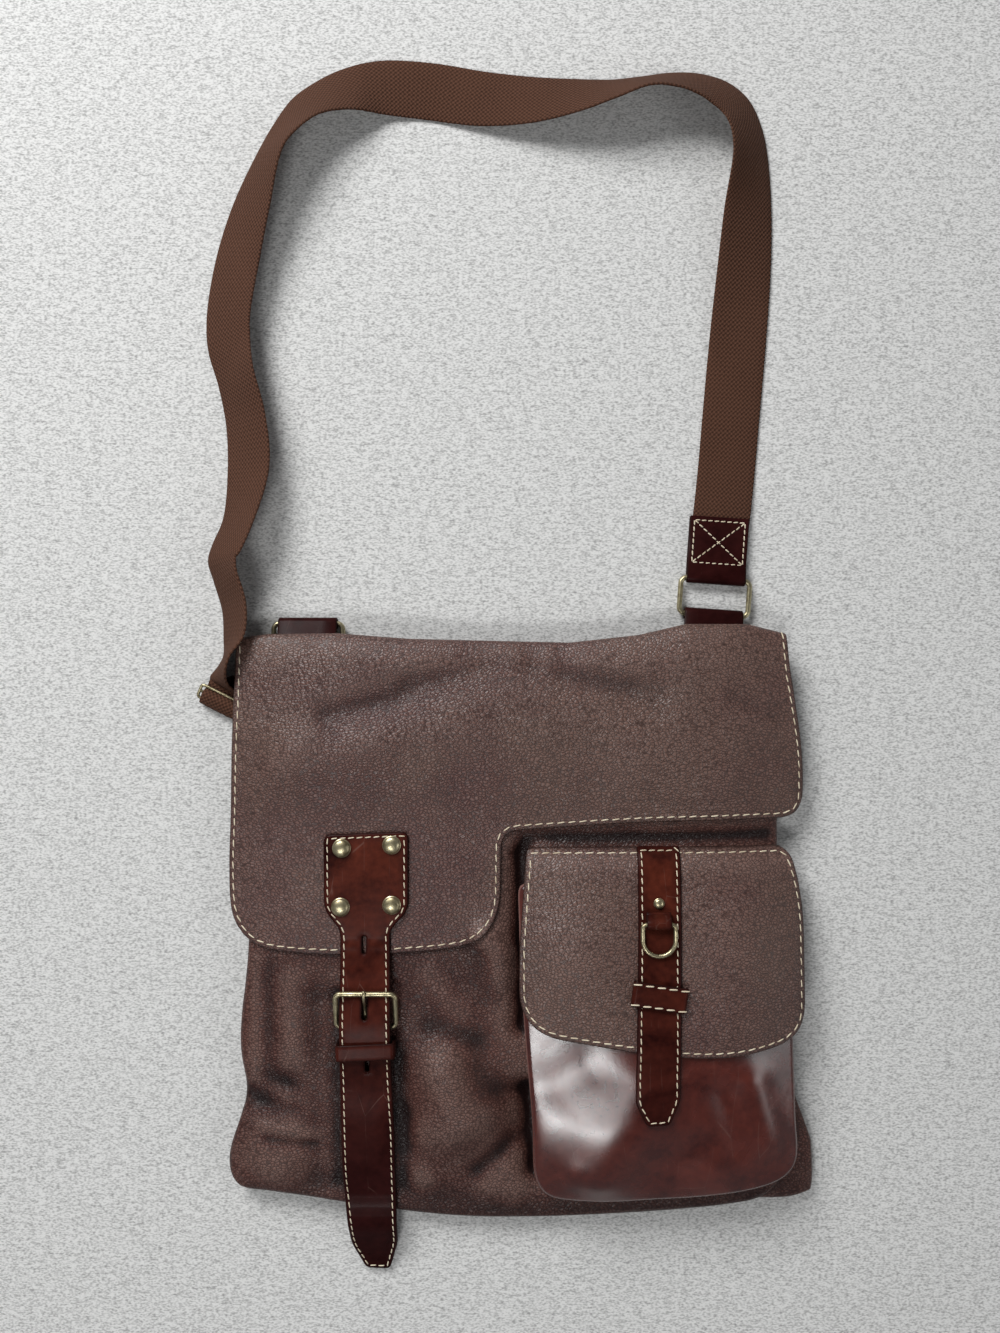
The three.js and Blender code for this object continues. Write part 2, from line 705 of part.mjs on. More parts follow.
function pillow(x, y) {
  const swell = (centre) => {
    const distance = Math.hypot(x - centre.x, (y - centre.y) * PILLOW_SLIMNESS) / PILLOW_REACH;
    return Math.exp(-(distance ** 2));
  };
  return PILLOW_HEIGHT * PILLOWS.reduce((sum, centre) => sum + swell(centre), 0);
}

function pocketFlapUnder(x, y) {
  if (y >= POCKET_FLAP_SEWN) return frontTop(x, y) + GAP;
  return pocketTop(x, y) + GAP + pillow(x, y);
}

const pocketFlapTop = (x, y) => pocketFlapUnder(x, y) + WALL;

function pocketStrapUnder(x, y) {
  if (y >= POCKET_STRAP_ON_FLAP) return pocketFlapTop(x, y) + GAP;
  return pocketTop(x, y) + GAP;
}

const pocketStrapTop = (x, y) => pocketStrapUnder(x, y) + POCKET_STRAP_WALL;

function backTop(y) {
  const share = THREE.MathUtils.clamp((y - BACK_RAISE_FROM) / (BACK_RAISE_TO - BACK_RAISE_FROM), 0, 1);
  return WALL + BACK_RAISE * share;
}

// Body: seam curve, panels and gusset

function seamCurve(rows) {
  return new THREE.CatmullRomCurve3(rows.map((row) => new THREE.Vector3(row.x, row.y, 0)));
}

// Outline of a panel: its seam moved outwards by the margin, closed straight across the top
function seamOutline(rows, margin, top, steps) {
  const curve = seamCurve(rows);
  const points = [];
  for (let step = 0; step <= steps; step += 1) {
    const point = curve.getPoint(step / steps);
    const tangent = curve.getTangent(step / steps);
    points.push(new THREE.Vector2(point.x + tangent.y * margin, point.y - tangent.x * margin));
  }
  points.unshift(new THREE.Vector2(points[0].x, top));
  points.push(new THREE.Vector2(points.at(-1).x, top));
  return new THREE.Shape(points);
}

// Strip between a seam above and a seam below, with a fold pushed in plan by the rows' bulges
function gussetStrip(rows, steps, across, upperHeight, lowerHeight, lowerPlace) {
  const curve = seamCurve(rows);
  const bulges = new THREE.CatmullRomCurve3(rows.map((row) => new THREE.Vector3(row.bulgeX, row.bulgeY, 0)));
  const lattice = [];
  for (let step = 0; step <= steps; step += 1) {
    const upper = curve.getPoint(step / steps);
    upper.z = upperHeight(upper.x, upper.y);
    const lower = lowerPlace(upper);
    lower.z = lowerHeight(lower.x, lower.y);
    const bulge = bulges.getPoint(step / steps);
    const line = [];
    for (let part = 0; part <= across; part += 1) {
      const share = part / across;
      line.push(upper.clone().lerp(lower, share).addScaledVector(bulge, Math.sin(share * Math.PI)));
    }
    lattice.push(line);
  }
  return thickLattice(lattice, GUSSET_WALL);
}

// Wall of even thickness about a lattice of middle points
function thickLattice(lattice, wall) {
  const lastRow = lattice.length - 1;
  const lastColumn = lattice[0].length - 1;
  const normalAt = (row, column) => {
    const along = lattice[Math.min(row + 1, lastRow)][column].clone();
    along.sub(lattice[Math.max(row - 1, 0)][column]);
    const across = lattice[row][Math.min(column + 1, lastColumn)].clone();
    across.sub(lattice[row][Math.max(column - 1, 0)]);
    return along.cross(across).normalize();
  };
  return wallSolid(lattice.map((line, row) => line.map((point, column) => ({
    inner: point.clone().addScaledVector(normalAt(row, column), -wall / 2),
    outer: point.clone().addScaledVector(normalAt(row, column), wall / 2),
  }))));
}

function backSeam(point) {
  const x = BODY_MIDDLE.x + (point.x - BODY_MIDDLE.x) * BACK_INSET;
  const y = BODY_MIDDLE.y + (point.y - BODY_MIDDLE.y) * BACK_INSET;
  return new THREE.Vector3(x, y, 0);
}

function makeBackPanel() {
  const profile = new THREE.Shape();
  profile.moveTo(BACK_BLANK.end, 0);
  profile.lineTo(BACK_RAISE_FROM, 0);
  profile.lineTo(BACK_RAISE_TO, BACK_RAISE);
  profile.lineTo(BACK_TOP, BACK_RAISE);
  profile.lineTo(BACK_TOP, BACK_RAISE + WALL);
  profile.lineTo(BACK_RAISE_TO, BACK_RAISE + WALL);
  profile.lineTo(BACK_RAISE_FROM, WALL);
  profile.lineTo(BACK_BLANK.end, WALL);
  const strip = extrudeAcross(profile, BACK_BLANK.width);
  const steps = 40;
  const rows = BODY_SEAM.map((row) => backSeam(row));
  const outline = seamOutline(rows, SEAM_MARGIN, BACK_TOP, steps);
  addPiece('back_panel', toGeometry(cutToOutline(strip, outline)), 'pebbled');
}

function makeFrontPanel() {
  const steps = 54;
  const sheet = gridSheet(frontUnder, WALL, SHEETS.front);
  const outline = seamOutline(BODY_SEAM, SEAM_MARGIN, 0, steps);
  addPiece('front_panel', toGeometry(cutToOutline(sheet, outline)), 'pebbled');
}

function makeGusset() {
  const steps = 52;
  const across = 4;
  const upper = (x, y) => facetHeight(frontUnder, x, y) - SEAM_GAP - GUSSET_WALL / 2;
  const lower = (x, y) => backTop(y + GUSSET_LEAD) + SEAM_GAP + GUSSET_WALL / 2;
  addPiece('gusset', gussetStrip(BODY_SEAM, steps, across, upper, lower, backSeam), 'pebbled');
}

// Flap: front layer on the grid, half-round fold over the top, then the sewn strip
function flapCell(x, row) {
  if (row.fold === null) return sheetCell(x, row.y, flapUnder(x, row.y), WALL);
  const upper = flapUnder(x, 0);
  const lower = FLAP_STRIP_Z + WALL;
  const middle = (upper + lower) / 2;
  const half = (upper - lower) / 2;
  const reach = tableValue(FLAP_FOLD, 'x', 'reach', x);
  const out = Math.cos(row.fold);
  const up = Math.sin(row.fold);
  return {
    inner: new THREE.Vector3(x, row.y + (reach - WALL) * out, middle + half * up),
    outer: new THREE.Vector3(x, row.y + reach * out, middle + (half + WALL) * up),
  };
}

function makeMainFlap() {
  const area = SHEETS.flap;
  const rows = [];
  for (let y = area.south; y <= area.north; y += GRID) {
    rows.push({ y, fold: null });
  }
  for (let step = 1; step <= FOLD_STEPS; step += 1) {
    rows.push({ y: area.north, fold: Math.PI / 2 - (step / FOLD_STEPS) * Math.PI });
  }
  rows.push({ y: FLAP_STRIP_START, fold: -Math.PI / 2 });
  const lattice = rows.map((row) => {
    const line = [];
    for (let x = area.west; x <= area.east; x += GRID) {
      line.push(flapCell(x, row));
    }
    return line;
  });
  const flap = cutToOutline(wallSolid(lattice), outlineShape(FLAP_OUTLINE));
  addPiece('main_flap', toGeometry(flap), 'pebbled');
}

// Closure: strap, rivets, buckle, chape and keeper

function makeClosureStrap() {
  let belt = cutToOutline(gridSheet(beltUnder, BELT_WALL, SHEETS.belt), outlineShape(BELT_OUTLINE));
  SLOTS.forEach((slot) => {
    belt = cutSlot(belt, slot, SLOT_LENGTH, SLOT_WIDTH);
  });
  belt = cutSlot(belt, PRONG_SLOT, PRONG_SLOT.length, PRONG_SLOT.width);
  addPiece('closure_strap', toGeometry(belt), 'belt');
  STRAP_RIVETS.forEach((rivet, index) => {
    const head = addPiece(`strap_rivet_${index + 1}`, rivetHead(RIVET_RADIUS, RIVET_HEIGHT), 'brass');
    const seat = seatHeight(beltTop, rivet.x, rivet.y, RIVET_RADIUS, RIVET_RADIUS);
    head.position.set(rivet.x, rivet.y, seat + GAP);
  });
}

// Angles of the stations of an arc given in degrees
function loopAngles(arc) {
  const angles = [];
  for (let step = 0; step <= arc.steps; step += 1) {
    angles.push(THREE.MathUtils.degToRad(arc.start + (step / arc.steps) * arc.sweep));
  }
  return angles;
}

// Leather strip folded round a bar: flat run, loop with the bar's hole, short return
function barLoopProfile(bar, wall, hole, base, runEnd, loopEnd) {
  const outer = hole + wall;
  const side = Math.sign(bar.y - loopEnd);
  const profile = new THREE.Shape();
  profile.moveTo(runEnd, base);
  profile.lineTo(bar.y, base);
  const steps = 8;
  for (let step = 1; step < steps; step += 1) {
    const angle = (step / steps) * Math.PI;
    profile.lineTo(bar.y + side * outer * Math.sin(angle), bar.z - outer * Math.cos(angle));
  }
  profile.lineTo(bar.y, bar.z + outer);
  profile.lineTo(loopEnd, base + wall * LOOP_RETURN_SHARE);
  profile.lineTo(runEnd, base + wall);
  const bore = new THREE.Path();
  bore.absarc(bar.y, bar.z, hole, 0, 2 * Math.PI, side > 0);
  profile.holes.push(bore);
  return profile;
}

function makeBuckle() {
  const chapeY = (PIVOT_BAR_Y + CHAPE_END) / 2;
  const chapeHalf = (PIVOT_BAR_Y - CHAPE_END) / 2 + CHAPE_SEAT_MARGIN;
  const base = seatHeight(frontTop, BUCKLE_X, chapeY, CHAPE_WIDTH / 2, chapeHalf) + GAP;
  const hole = BUCKLE_WIRE + GAP;
  const bar = { y: PIVOT_BAR_Y, z: base + WALL + hole };
  const profile = barLoopProfile(bar, WALL, hole, base, CHAPE_END, CHAPE_LOOP_END);
  const strip = toManifold(extrudeAcross(profile, CHAPE_WIDTH));
  const chape = cutSlot(strip, CHAPE_SLOT, CHAPE_SLOT.length, CHAPE_SLOT.width);
  addPiece('buckle_chape', toGeometry(chape), 'belt').position.x = BUCKLE_X;

  const topSeat = seatHeight(beltTop, BUCKLE_X, TOP_BAR_Y, BUCKLE_WIDTH / 2 - BUCKLE_WIRE * 2, BUCKLE_WIRE);
  const topBar = { y: TOP_BAR_Y, z: topSeat + GAP + BUCKLE_WIRE };
  const length = Math.hypot(topBar.y - bar.y, topBar.z - bar.z);
  const loop = wireLoop(BUCKLE_WIDTH, length, BUCKLE_CORNER, BUCKLE_CORNER, BUCKLE_WIRE);
  const frame = addPiece('buckle_frame', loop, 'brass');
  frame.position.set(BUCKLE_X, (topBar.y + bar.y) / 2, (topBar.z + bar.z) / 2);
  frame.rotation.x = Math.atan2(topBar.z - bar.z, topBar.y - bar.y);

  addPiece('buckle_prong', prongSolid(bar, topBar), 'brass').position.x = PRONG_SLOT.x;

  makeKeeper('buckle_keeper', BUCKLE_KEEPER, frontTop, beltTop);
}

// Keeper standing on one layer and arching over another
function makeKeeper(name, keeper, ground, covered) {
  const halfWidth = keeper.width / 2 + KEEPER_SEAT_MARGIN;
  const halfLength = keeper.length / 2 + KEEPER_SEAT_MARGIN;
  const seat = seatHeight(ground, keeper.x, keeper.y, halfWidth, halfLength) + GAP;
  const ceiling = seatHeight(covered, keeper.x, keeper.y, halfWidth, halfLength) + GAP;
  const arch = addPiece(name, keeperArch(keeper, ceiling - seat), 'belt');
  arch.position.set(keeper.x, keeper.y, seat);
  arch.rotation.z = THREE.MathUtils.degToRad(keeper.turn);
}

// Prong: hooked round the pivot bar, up through the slot, tip resting on the top bar
function prongSolid(bar, topBar) {
  const hook = BUCKLE_WIRE + GAP + PRONG_RADIUS;
  const points = loopAngles(PRONG_HOOK).map((angle) => (
    new THREE.Vector3(0, bar.y + hook * Math.cos(angle), bar.z + hook * Math.sin(angle))
  ));
  const rest = topBar.z + BUCKLE_WIRE + GAP + PRONG_RADIUS;
  PRONG_RISE.forEach((row) => {
    points.push(new THREE.Vector3(0, bar.y + row.pastPivot, bar.z + row.overPivot));
  });
  PRONG_REST.forEach((row) => {
    points.push(new THREE.Vector3(0, topBar.y + row.pastTop, rest - row.drop));
  });
  const section = new THREE.Shape();
  section.absarc(0, 0, PRONG_RADIUS, 0, 2 * Math.PI);
  const extrudePath = new THREE.CatmullRomCurve3(points);
  const curveSegments = 3;
  return new THREE.ExtrudeGeometry(section, { extrudePath, steps: PRONG_STEPS, curveSegments });
}

// Pocket: front, gusset, flap, strap and fittings

function makePocket() {
  const steps = 30;
  const gussetSteps = 36;
  const across = 2;
  const front = gridSheet(pocketUnder, WALL, SHEETS.pocket);
  const outline = seamOutline(POCKET_SEAM, SEAM_MARGIN, POCKET_MOUTH, steps);
  addPiece('pocket_front', toGeometry(cutToOutline(front, outline)), 'smooth');

  const upper = (x, y) => facetHeight(pocketUnder, x, y) - SEAM_GAP - GUSSET_WALL / 2;
  const lower = (x, y) => facetHeight(frontTop, x, y) + SEAM_GAP + GUSSET_WALL / 2;
  const below = (point) => point.clone();
  const gusset = gussetStrip(POCKET_SEAM, gussetSteps, across, upper, lower, below);
  addPiece('pocket_gusset', gusset, 'smooth');

  const flap = gridSheet(pocketFlapUnder, WALL, SHEETS.pocketFlap);
  addPiece('pocket_flap', toGeometry(cutToOutline(flap, outlineShape(POCKET_FLAP_OUTLINE))), 'pebbled');

  const strap = gridSheet(pocketStrapUnder, POCKET_STRAP_WALL, SHEETS.pocketStrap);
  addPiece('pocket_strap', toGeometry(cutToOutline(strap, outlineShape(POCKET_STRAP_OUTLINE))), 'belt');
}

function makePocketFittings() {
  const rivet = POCKET_RIVET;
  const head = addPiece('pocket_strap_rivet', rivetHead(rivet.radius, rivet.height), 'brass');
  const rivetSeat = seatHeight(pocketStrapTop, rivet.x, rivet.y, rivet.radius, rivet.radius);
  head.position.set(rivet.x, rivet.y, rivetSeat + GAP);

  makeKeeper('pocket_keeper', POCKET_KEEPER, pocketFlapTop, pocketStrapTop);

  const hole = RING_WIRE + GAP;
  const loopMiddle = (RING_LOOP_END + RING_BAR_Y) / 2;
  const loopHalf = (RING_LOOP_END - RING_BAR_Y) / 2 + hole + RING_LOOP_WALL;
  const base = seatHeight(pocketStrapTop, RING_X, loopMiddle, RING_LOOP_WIDTH / 2, loopHalf) + GAP;
  const bar = { y: RING_BAR_Y, z: base + RING_LOOP_WALL + hole };
  const profile = barLoopProfile(bar, RING_LOOP_WALL, hole, base, RING_LOOP_END, RING_LOOP_RETURN);
  addPiece('d_ring_loop', extrudeAcross(profile, RING_LOOP_WIDTH), 'belt').position.x = RING_X;

  const farSeat = seatHeight(pocketStrapTop, RING_X, RING_FAR_Y, RING_WIDTH / 2, RING_WIRE);
  const farZ = farSeat + GAP + RING_WIRE;
  const length = Math.hypot(RING_BAR_Y - RING_FAR_Y, bar.z - farZ);
  const farRadius = RING_WIDTH / 2 - RING_FAR_FLAT;
  const ring = wireLoop(RING_WIDTH, length, farRadius, RING_BAR_CORNER, RING_WIRE, RING_CORNER_STEPS);
  const mesh = addPiece('d_ring', ring, 'brass');
  mesh.position.set(RING_X, (RING_BAR_Y + RING_FAR_Y) / 2, (bar.z + farZ) / 2);
  mesh.rotation.x = Math.atan2(bar.z - farZ, RING_BAR_Y - RING_FAR_Y);
}

// Shoulder strap, its rings, tabs and slider

function strapRing(name, parent) {
  const corner = STRAP_RING_CORNER;
  const ring = wireLoop(STRAP_RING_WIDTH, STRAP_RING_LENGTH, corner, corner, STRAP_WIRE);
  return addPiece(name, ring, 'brass', parent);
}

// Tab from the seam above the back panel down to its loop round a ring's bar, in a group placed at groupY
function anchorTab(name, barY, groupY, parent) {
  const hole = STRAP_WIRE + TAB_CLEARANCE;
  const outer = hole + TAB_WALL;
  const base = BACK_RAISE + WALL + GAP;
  const edge = BACK_TOP - groupY;
  const sewnY = TAB_SEWN_Y - groupY;
  const profile = new THREE.Shape();
  profile.moveTo(sewnY, base);
  profile.lineTo(edge + TAB_BEND.inner, base);
  profile.lineTo(barY - outer - TAB_DROP.before, STRAP_RING_Z + TAB_DROP.over);
  loopAngles(TAB_LOOP).forEach((angle) => {
    profile.lineTo(barY + outer * Math.cos(angle), STRAP_RING_Z + outer * Math.sin(angle));
  });
  profile.lineTo(edge + TAB_BEND.outer, base + TAB_WALL);
  profile.lineTo(sewnY, base + TAB_WALL);
  const bore = new THREE.Path();
  bore.absarc(barY, STRAP_RING_Z, hole, 0, 2 * Math.PI, true);
  profile.holes.push(bore);
  return addPiece(name, extrudeAcross(profile, TAB_WIDTH), 'belt', parent);
}

// Leather end over and under the webbing, looped round the ring's far bar
function endTab(barY, parent) {
  const hole = STRAP_WIRE + TAB_CLEARANCE;
  const outer = hole + END_TAB_WALL;
  const slotLow = END_TAB_WALL + GAP;
  const slotHigh = slotLow + WEBBING_WALL + 2 * GAP;
  const end = barY + END_TAB_LENGTH;
  const slotStart = barY + outer + END_TAB_SLOT_START;
  const profile = new THREE.Shape();
  profile.moveTo(end, slotHigh);
  profile.lineTo(end, slotHigh + END_TAB_WALL);
  loopAngles(END_TAB_LOOP).forEach((angle) => {
    profile.lineTo(barY + outer * Math.cos(angle), STRAP_RING_Z + outer * Math.sin(angle));
  });
  profile.lineTo(end, GAP);
  profile.lineTo(end, slotLow);
  profile.lineTo(slotStart, slotLow);
  profile.lineTo(slotStart, slotHigh);
  const bore = new THREE.Path();
  bore.absarc(barY, STRAP_RING_Z, hole, 0, 2 * Math.PI, true);
  profile.holes.push(bore);
  return addPiece('strap_end_tab', extrudeAcross(profile, TAB_WIDTH), 'belt', parent);
}

function makeStrapFittings() {
  const half = STRAP_RING_LENGTH / 2;
  const right = new THREE.Group();
  right.position.set(RIGHT_FITTING.x, RIGHT_FITTING.y, 0);
  right.rotation.z = THREE.MathUtils.degToRad(RIGHT_FITTING.turn);
  bag.add(right);
  strapRing('strap_ring_right', right).position.z = STRAP_RING_Z;
  anchorTab('anchor_tab_right', -half, RIGHT_FITTING.y, right);
  endTab(half, right);

  const left = new THREE.Group();
  left.position.x = LEFT_RING.x;
  bag.add(left);
  strapRing('strap_ring_left', left).position.set(0, LEFT_RING.y - half, STRAP_RING_Z);
  anchorTab('anchor_tab_left', LEFT_RING.y, 0, left);

  const length = 2 * SLIDER_BAR_STEP;
  const loop = toManifold(wireLoop(SLIDER_WIDTH, length, SLIDER_CORNER, SLIDER_CORNER, SLIDER_WIRE));
  const bar = new THREE.CylinderGeometry(SLIDER_WIRE, SLIDER_WIRE, SLIDER_WIDTH, WIRE_SIDES);
  bar.rotateZ(Math.PI / 2);
  const slider = addPiece('strap_slider', toGeometry(loop.add(toManifold(bar))), 'brass');
  const turn = THREE.MathUtils.degToRad(SLIDER.across);
  const along = sliderAlong().multiplyScalar(SLIDER_BAR_STEP);
  slider.position.set(SLIDER.x + along.x, SLIDER.y + along.y, (SLIDER_FRONT_Z + SLIDER_REAR_Z) / 2);
  slider.rotation.order = 'ZXY';
  slider.rotation.z = turn;
  slider.rotation.x = Math.atan2(SLIDER_FRONT_Z - SLIDER_REAR_Z, length);
}

function sliderAlong() {
  const turn = THREE.MathUtils.degToRad(SLIDER.across);
  return new THREE.Vector3(Math.sin(turn), -Math.cos(turn), 0);
}

// The webbing's two edges, station by station
function strapEdges() {
  const stations = [];
  const lift = WEBBING_WALL / 2 + GAP;
  const path = new THREE.CatmullRomCurve3(STRAP_ROUTE.map((row) => new THREE.Vector3(row.x, row.y, 0)));
  STRAP_ROUTE.forEach((row, index) => {
    const tangent = path.getTangent(index / (STRAP_ROUTE.length - 1));
    const lean = THREE.MathUtils.degToRad(row.lean);
    const rise = index < STRAP_END_ROWS ? STRAP_END_RISE : 0;
    const low = new THREE.Vector3(row.x, row.y, lift + rise);
    const across = new THREE.Vector3(-tangent.y * Math.cos(lean), tangent.x * Math.cos(lean), Math.sin(lean));
    stations.push({ low, high: low.clone().addScaledVector(across, WEBBING_WIDTH) });
  });
  STRAP_TWIST.forEach((row) => {
    const low = new THREE.Vector3(row.lowX, row.lowY, row.lowZ);
    const high = new THREE.Vector3(row.highX, row.highY, row.highZ);
    stations.push({ low, high });
  });
  const addMiddle = (x, y, z, degrees) => {
    const turn = THREE.MathUtils.degToRad(degrees);
    const half = new THREE.Vector3(Math.cos(turn), Math.sin(turn), 0).multiplyScalar(WEBBING_WIDTH / 2);
    const centre = new THREE.Vector3(x, y, z);
    stations.push({ low: centre.clone().sub(half), high: centre.clone().add(half) });
  };
  SLIDER_PASS.forEach((row) => {
    const along = sliderAlong().multiplyScalar(row.along);
    addMiddle(SLIDER.x + along.x, SLIDER.y + along.y, row.z, SLIDER.across);
  });
  UNDER_BAG.forEach((row) => addMiddle(row.x, row.y, row.z, row.across));
  const farBar = LEFT_RING.y - STRAP_RING_LENGTH;
  const wrap = STRAP_RING_Z - UNDER_STRAP_Z;
  addMiddle(LEFT_RING.x, farBar, UNDER_STRAP_Z, 0);
  addMiddle(LEFT_RING.x, farBar + wrap, STRAP_RING_Z, 0);
  addMiddle(LEFT_RING.x, farBar, STRAP_RING_Z + wrap, 0);
  addMiddle(LEFT_RING.x, farBar - STRAP_TAIL, STRAP_RING_Z + wrap - STRAP_TAIL_DROP, 0);
  return stations;
}

function makeShoulderStrap() {
  const stations = strapEdges();
  const low = new THREE.CatmullRomCurve3(stations.map((station) => station.low));
  const high = new THREE.CatmullRomCurve3(stations.map((station) => station.high));
  const steps = (stations.length - 1) * STRAP_SUBSTEPS;
  const lattice = [];
  for (let step = 0; step <= steps; step += 1) {
    lattice.push([low.getPoint(step / steps), high.getPoint(step / steps)]);
  }
  addPiece('shoulder_strap', thickLattice(lattice, WEBBING_WALL), 'webbing');
}

makeBackPanel();
makeFrontPanel();
makeGusset();
makeMainFlap();
makeClosureStrap();
makeBuckle();
makePocket();
makePocketFittings();
makeStrapFittings();
makeShoulderStrap();

// Origin under the middle of the whole, on the surface
const extent = new THREE.Box3().setFromObject(bag);
const middle = extent.getCenter(new THREE.Vector3());
bag.position.set(-middle.x, -middle.y, -extent.min.z);

export default bag;
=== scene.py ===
"""Leather messenger bag lying on its back: leather, webbing, thread and brass on the CAD frame.

Shapes are worked out in plan millimetres: x to the right and y up the photograph,
from the point under the camera.
"""

import json
from math import pi, radians
from typing import NamedTuple

import bmesh
import bpy
import numpy as np
from mathutils import Matrix, Vector, noise
from mathutils.geometry import delaunay_2d_cdt


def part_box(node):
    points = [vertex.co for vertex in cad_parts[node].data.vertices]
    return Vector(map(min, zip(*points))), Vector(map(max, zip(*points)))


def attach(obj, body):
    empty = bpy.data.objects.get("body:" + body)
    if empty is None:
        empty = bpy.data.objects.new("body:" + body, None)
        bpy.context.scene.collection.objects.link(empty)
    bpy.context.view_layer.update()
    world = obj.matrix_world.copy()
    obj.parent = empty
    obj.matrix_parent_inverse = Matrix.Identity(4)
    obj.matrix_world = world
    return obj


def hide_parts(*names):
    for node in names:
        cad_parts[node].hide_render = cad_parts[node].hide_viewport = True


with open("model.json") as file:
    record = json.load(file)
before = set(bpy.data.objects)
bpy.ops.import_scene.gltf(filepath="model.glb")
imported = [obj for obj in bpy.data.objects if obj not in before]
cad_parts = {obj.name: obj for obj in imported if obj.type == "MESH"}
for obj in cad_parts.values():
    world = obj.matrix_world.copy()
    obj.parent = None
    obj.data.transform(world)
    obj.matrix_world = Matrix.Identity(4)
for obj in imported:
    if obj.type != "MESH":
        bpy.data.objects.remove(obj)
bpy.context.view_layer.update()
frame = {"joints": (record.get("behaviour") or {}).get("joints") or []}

MM = 0.001

# Walls and clearances, in mm
WALL = 2.0
BELT_WALL = 2.6
POCKET_STRAP_WALL = 2.2
KEEPER_WALL = 1.7
GUSSET_WALL = 1.6
TAB_WALL = 2.0
END_TAB_WALL = 1.5
LOOP_WALL = 1.4
WEBBING_WALL = 1.6
WEBBING_WIDTH = 38.0
GAP = 0.3
SEAM_GAP = 0.7
SEAM_MARGIN = 3.0


class Fold(NamedTuple):
    """Ridge or dent along a line."""

    x1: float
    y1: float
    x2: float
    y2: float
    height: float
    spread: float


class Seam(NamedTuple):
    """Seam point, and how far the strip under it is pushed in plan at its middle."""

    x: float
    y: float
    bulge_x: float
    bulge_y: float


class Corner(NamedTuple):
    """Outline corner, and the distance from it at which its rounding starts."""

    x: float
    y: float
    round: float


class Row(NamedTuple):
    """One line of a table of values along a direction."""

    at: float
    value: float


class Station(NamedTuple):
    """Outer edge of the shoulder strap, and the webbing's lean up from flat in degrees."""

    x: float
    y: float
    lean: float


class Edges(NamedTuple):
    """Lower and upper edge of the webbing."""

    low: tuple
    high: tuple


class Middle(NamedTuple):
    """Middle of the webbing, and the direction across it in degrees."""

    x: float
    y: float
    z: float
    across: float


class Keeper(NamedTuple):
    """Leather loop across a strap."""

    x: float
    y: float
    width: float
    length: float
    turn: float


def table(kind, *rows):
    """Rows of numbers under the named columns of their kind."""
    return [kind(*row) for row in rows]


# Body
BODY_LEFT = -168.0
BODY_RIGHT = 184.0
BODY_BOTTOM = -356.0
EDGE_HEIGHT = 14.0
MOUTH_LIFT = 6.0
MOUTH_LIFT_FROM = -110.0
MOUTH_LIFT_TO = -35.0
CROWN = 8.0
CROWN_REACH = 70.0
OVERHANG_DROOP = 2.5
OVERHANG_REACH = 12.0
FOLD_MARGIN = 18.0
BACK_RAISE = 9.0
BACK_RAISE_FROM = -100.0
BACK_RAISE_TO = -58.0
BACK_TOP = 12.0
FRONT_TOP = 0.0
BACK_INSET = 0.975
BODY_MIDDLE = np.array([8.0, -170.0])
GUSSET_LEAD = 10.0
FLAP_STRIP_Z = BACK_RAISE + WALL + GAP + TAB_WALL + GAP

BODY_SEAM = table(
    Seam,
    (-162.5, -22, 4, 0), (-162, -100, 8, 0), (-161.8, -180, 8, 0), (-167.5, -246, 8, 0),
    (-163.3, -279, 8, 0), (-175.6, -322, 7, 2), (-171, -337.5, 4, 6), (-148, -341.5, 0, 8),
    (-30, -357, 0, 8), (83, -355.5, 0, 8), (150, -350, 3, 3), (172, -345, 14, -6), (181.5, -332, 25, -14),
    (183.5, -308, 23, -6), (182.5, -280, 12, 0), (181.5, -240, -5, 0), (180, -180, -8, 0),
    (178.5, -100, -8, 0), (176, -22, -4, 0),
)

# Main dents and folds, as in the solids, then the finer ones that only the finish has
BODY_FOLDS = table(
    Fold,
    (-109, -38, 13, 4, -3, 13), (26, 0, 96, -18, -3, 14), (-125, -60, -95, -52, 3, 24),
    (90, -70, 130, -78, 3, 26), (-8, -172, 4, -195, 4, 12), (-116, -215, -116, -330, -3, 12),
    (-38, -255, -34, -295, 6, 18), (-62, -292, -60, -322, -3, 11), (4, -275, 8, -312, -4, 13),
    (-6, -338, 4, -343, 3, 12), (-175, -280, -140, -272, -4, 13), (-162, -318, -150, -325, 4, 18),
)
FINE_FOLDS = table(
    Fold,
    # Main flap
    (-112, -30, -62, -18, -1.6, 6), (-60, -12, 0, 6, -1.8, 7), (40, -4, 84, -14, -1.6, 7),
    (-142, -64, -118, -40, 1.2, 9), (150, -20, 178, -34, -1.0, 6),
    # Front panel, left of the belt
    (-159, -190, -159, -265, 1.4, 4.5), (-150, -195, -150, -262, -0.6, 6), (-136, -205, -134, -255, 1.6, 9),
    (-160, -270, -138, -278, 1.4, 4), (-156, -284, -130, -288, -1.2, 4), (-154, -299, -118, -303, 1.3, 3.2),
    (-152, -306, -120, -309, -1.3, 3.2),
    # Front panel, between the belt and the pocket
    (-13, -172, 4, -186, 2.2, 5), (-46, -200, -26, -222, 1.4, 9), (-44, -232, -14, -240, -1.6, 9),
    (-34, -262, -18, -288, 6.0, 14), (8, -306, -14, -326, -2.6, 8), (-60, -322, -50, -333, 1.8, 8),
    # Fall of the front towards the bottom seam
    (-165, -350, 165, -358, -4.5, 24),
)
# Hollows of the front panel alone, beside the layers that bridge them
HOLLOWS = table(
    Fold,
    (20, -276, 24, -324, -12, 10), (14, -122, 16, -230, -8, 8), (-66, -250, -63, -335, -2.5, 8),
    (-104, -212, -104, -335, -3, 6), (16, -111, 172, -109, -3, 6),
)
RIPPLE_HEIGHT = 0.5
RIPPLE_LENGTH = 26.0
RIPPLE_LEVEL = 0.5

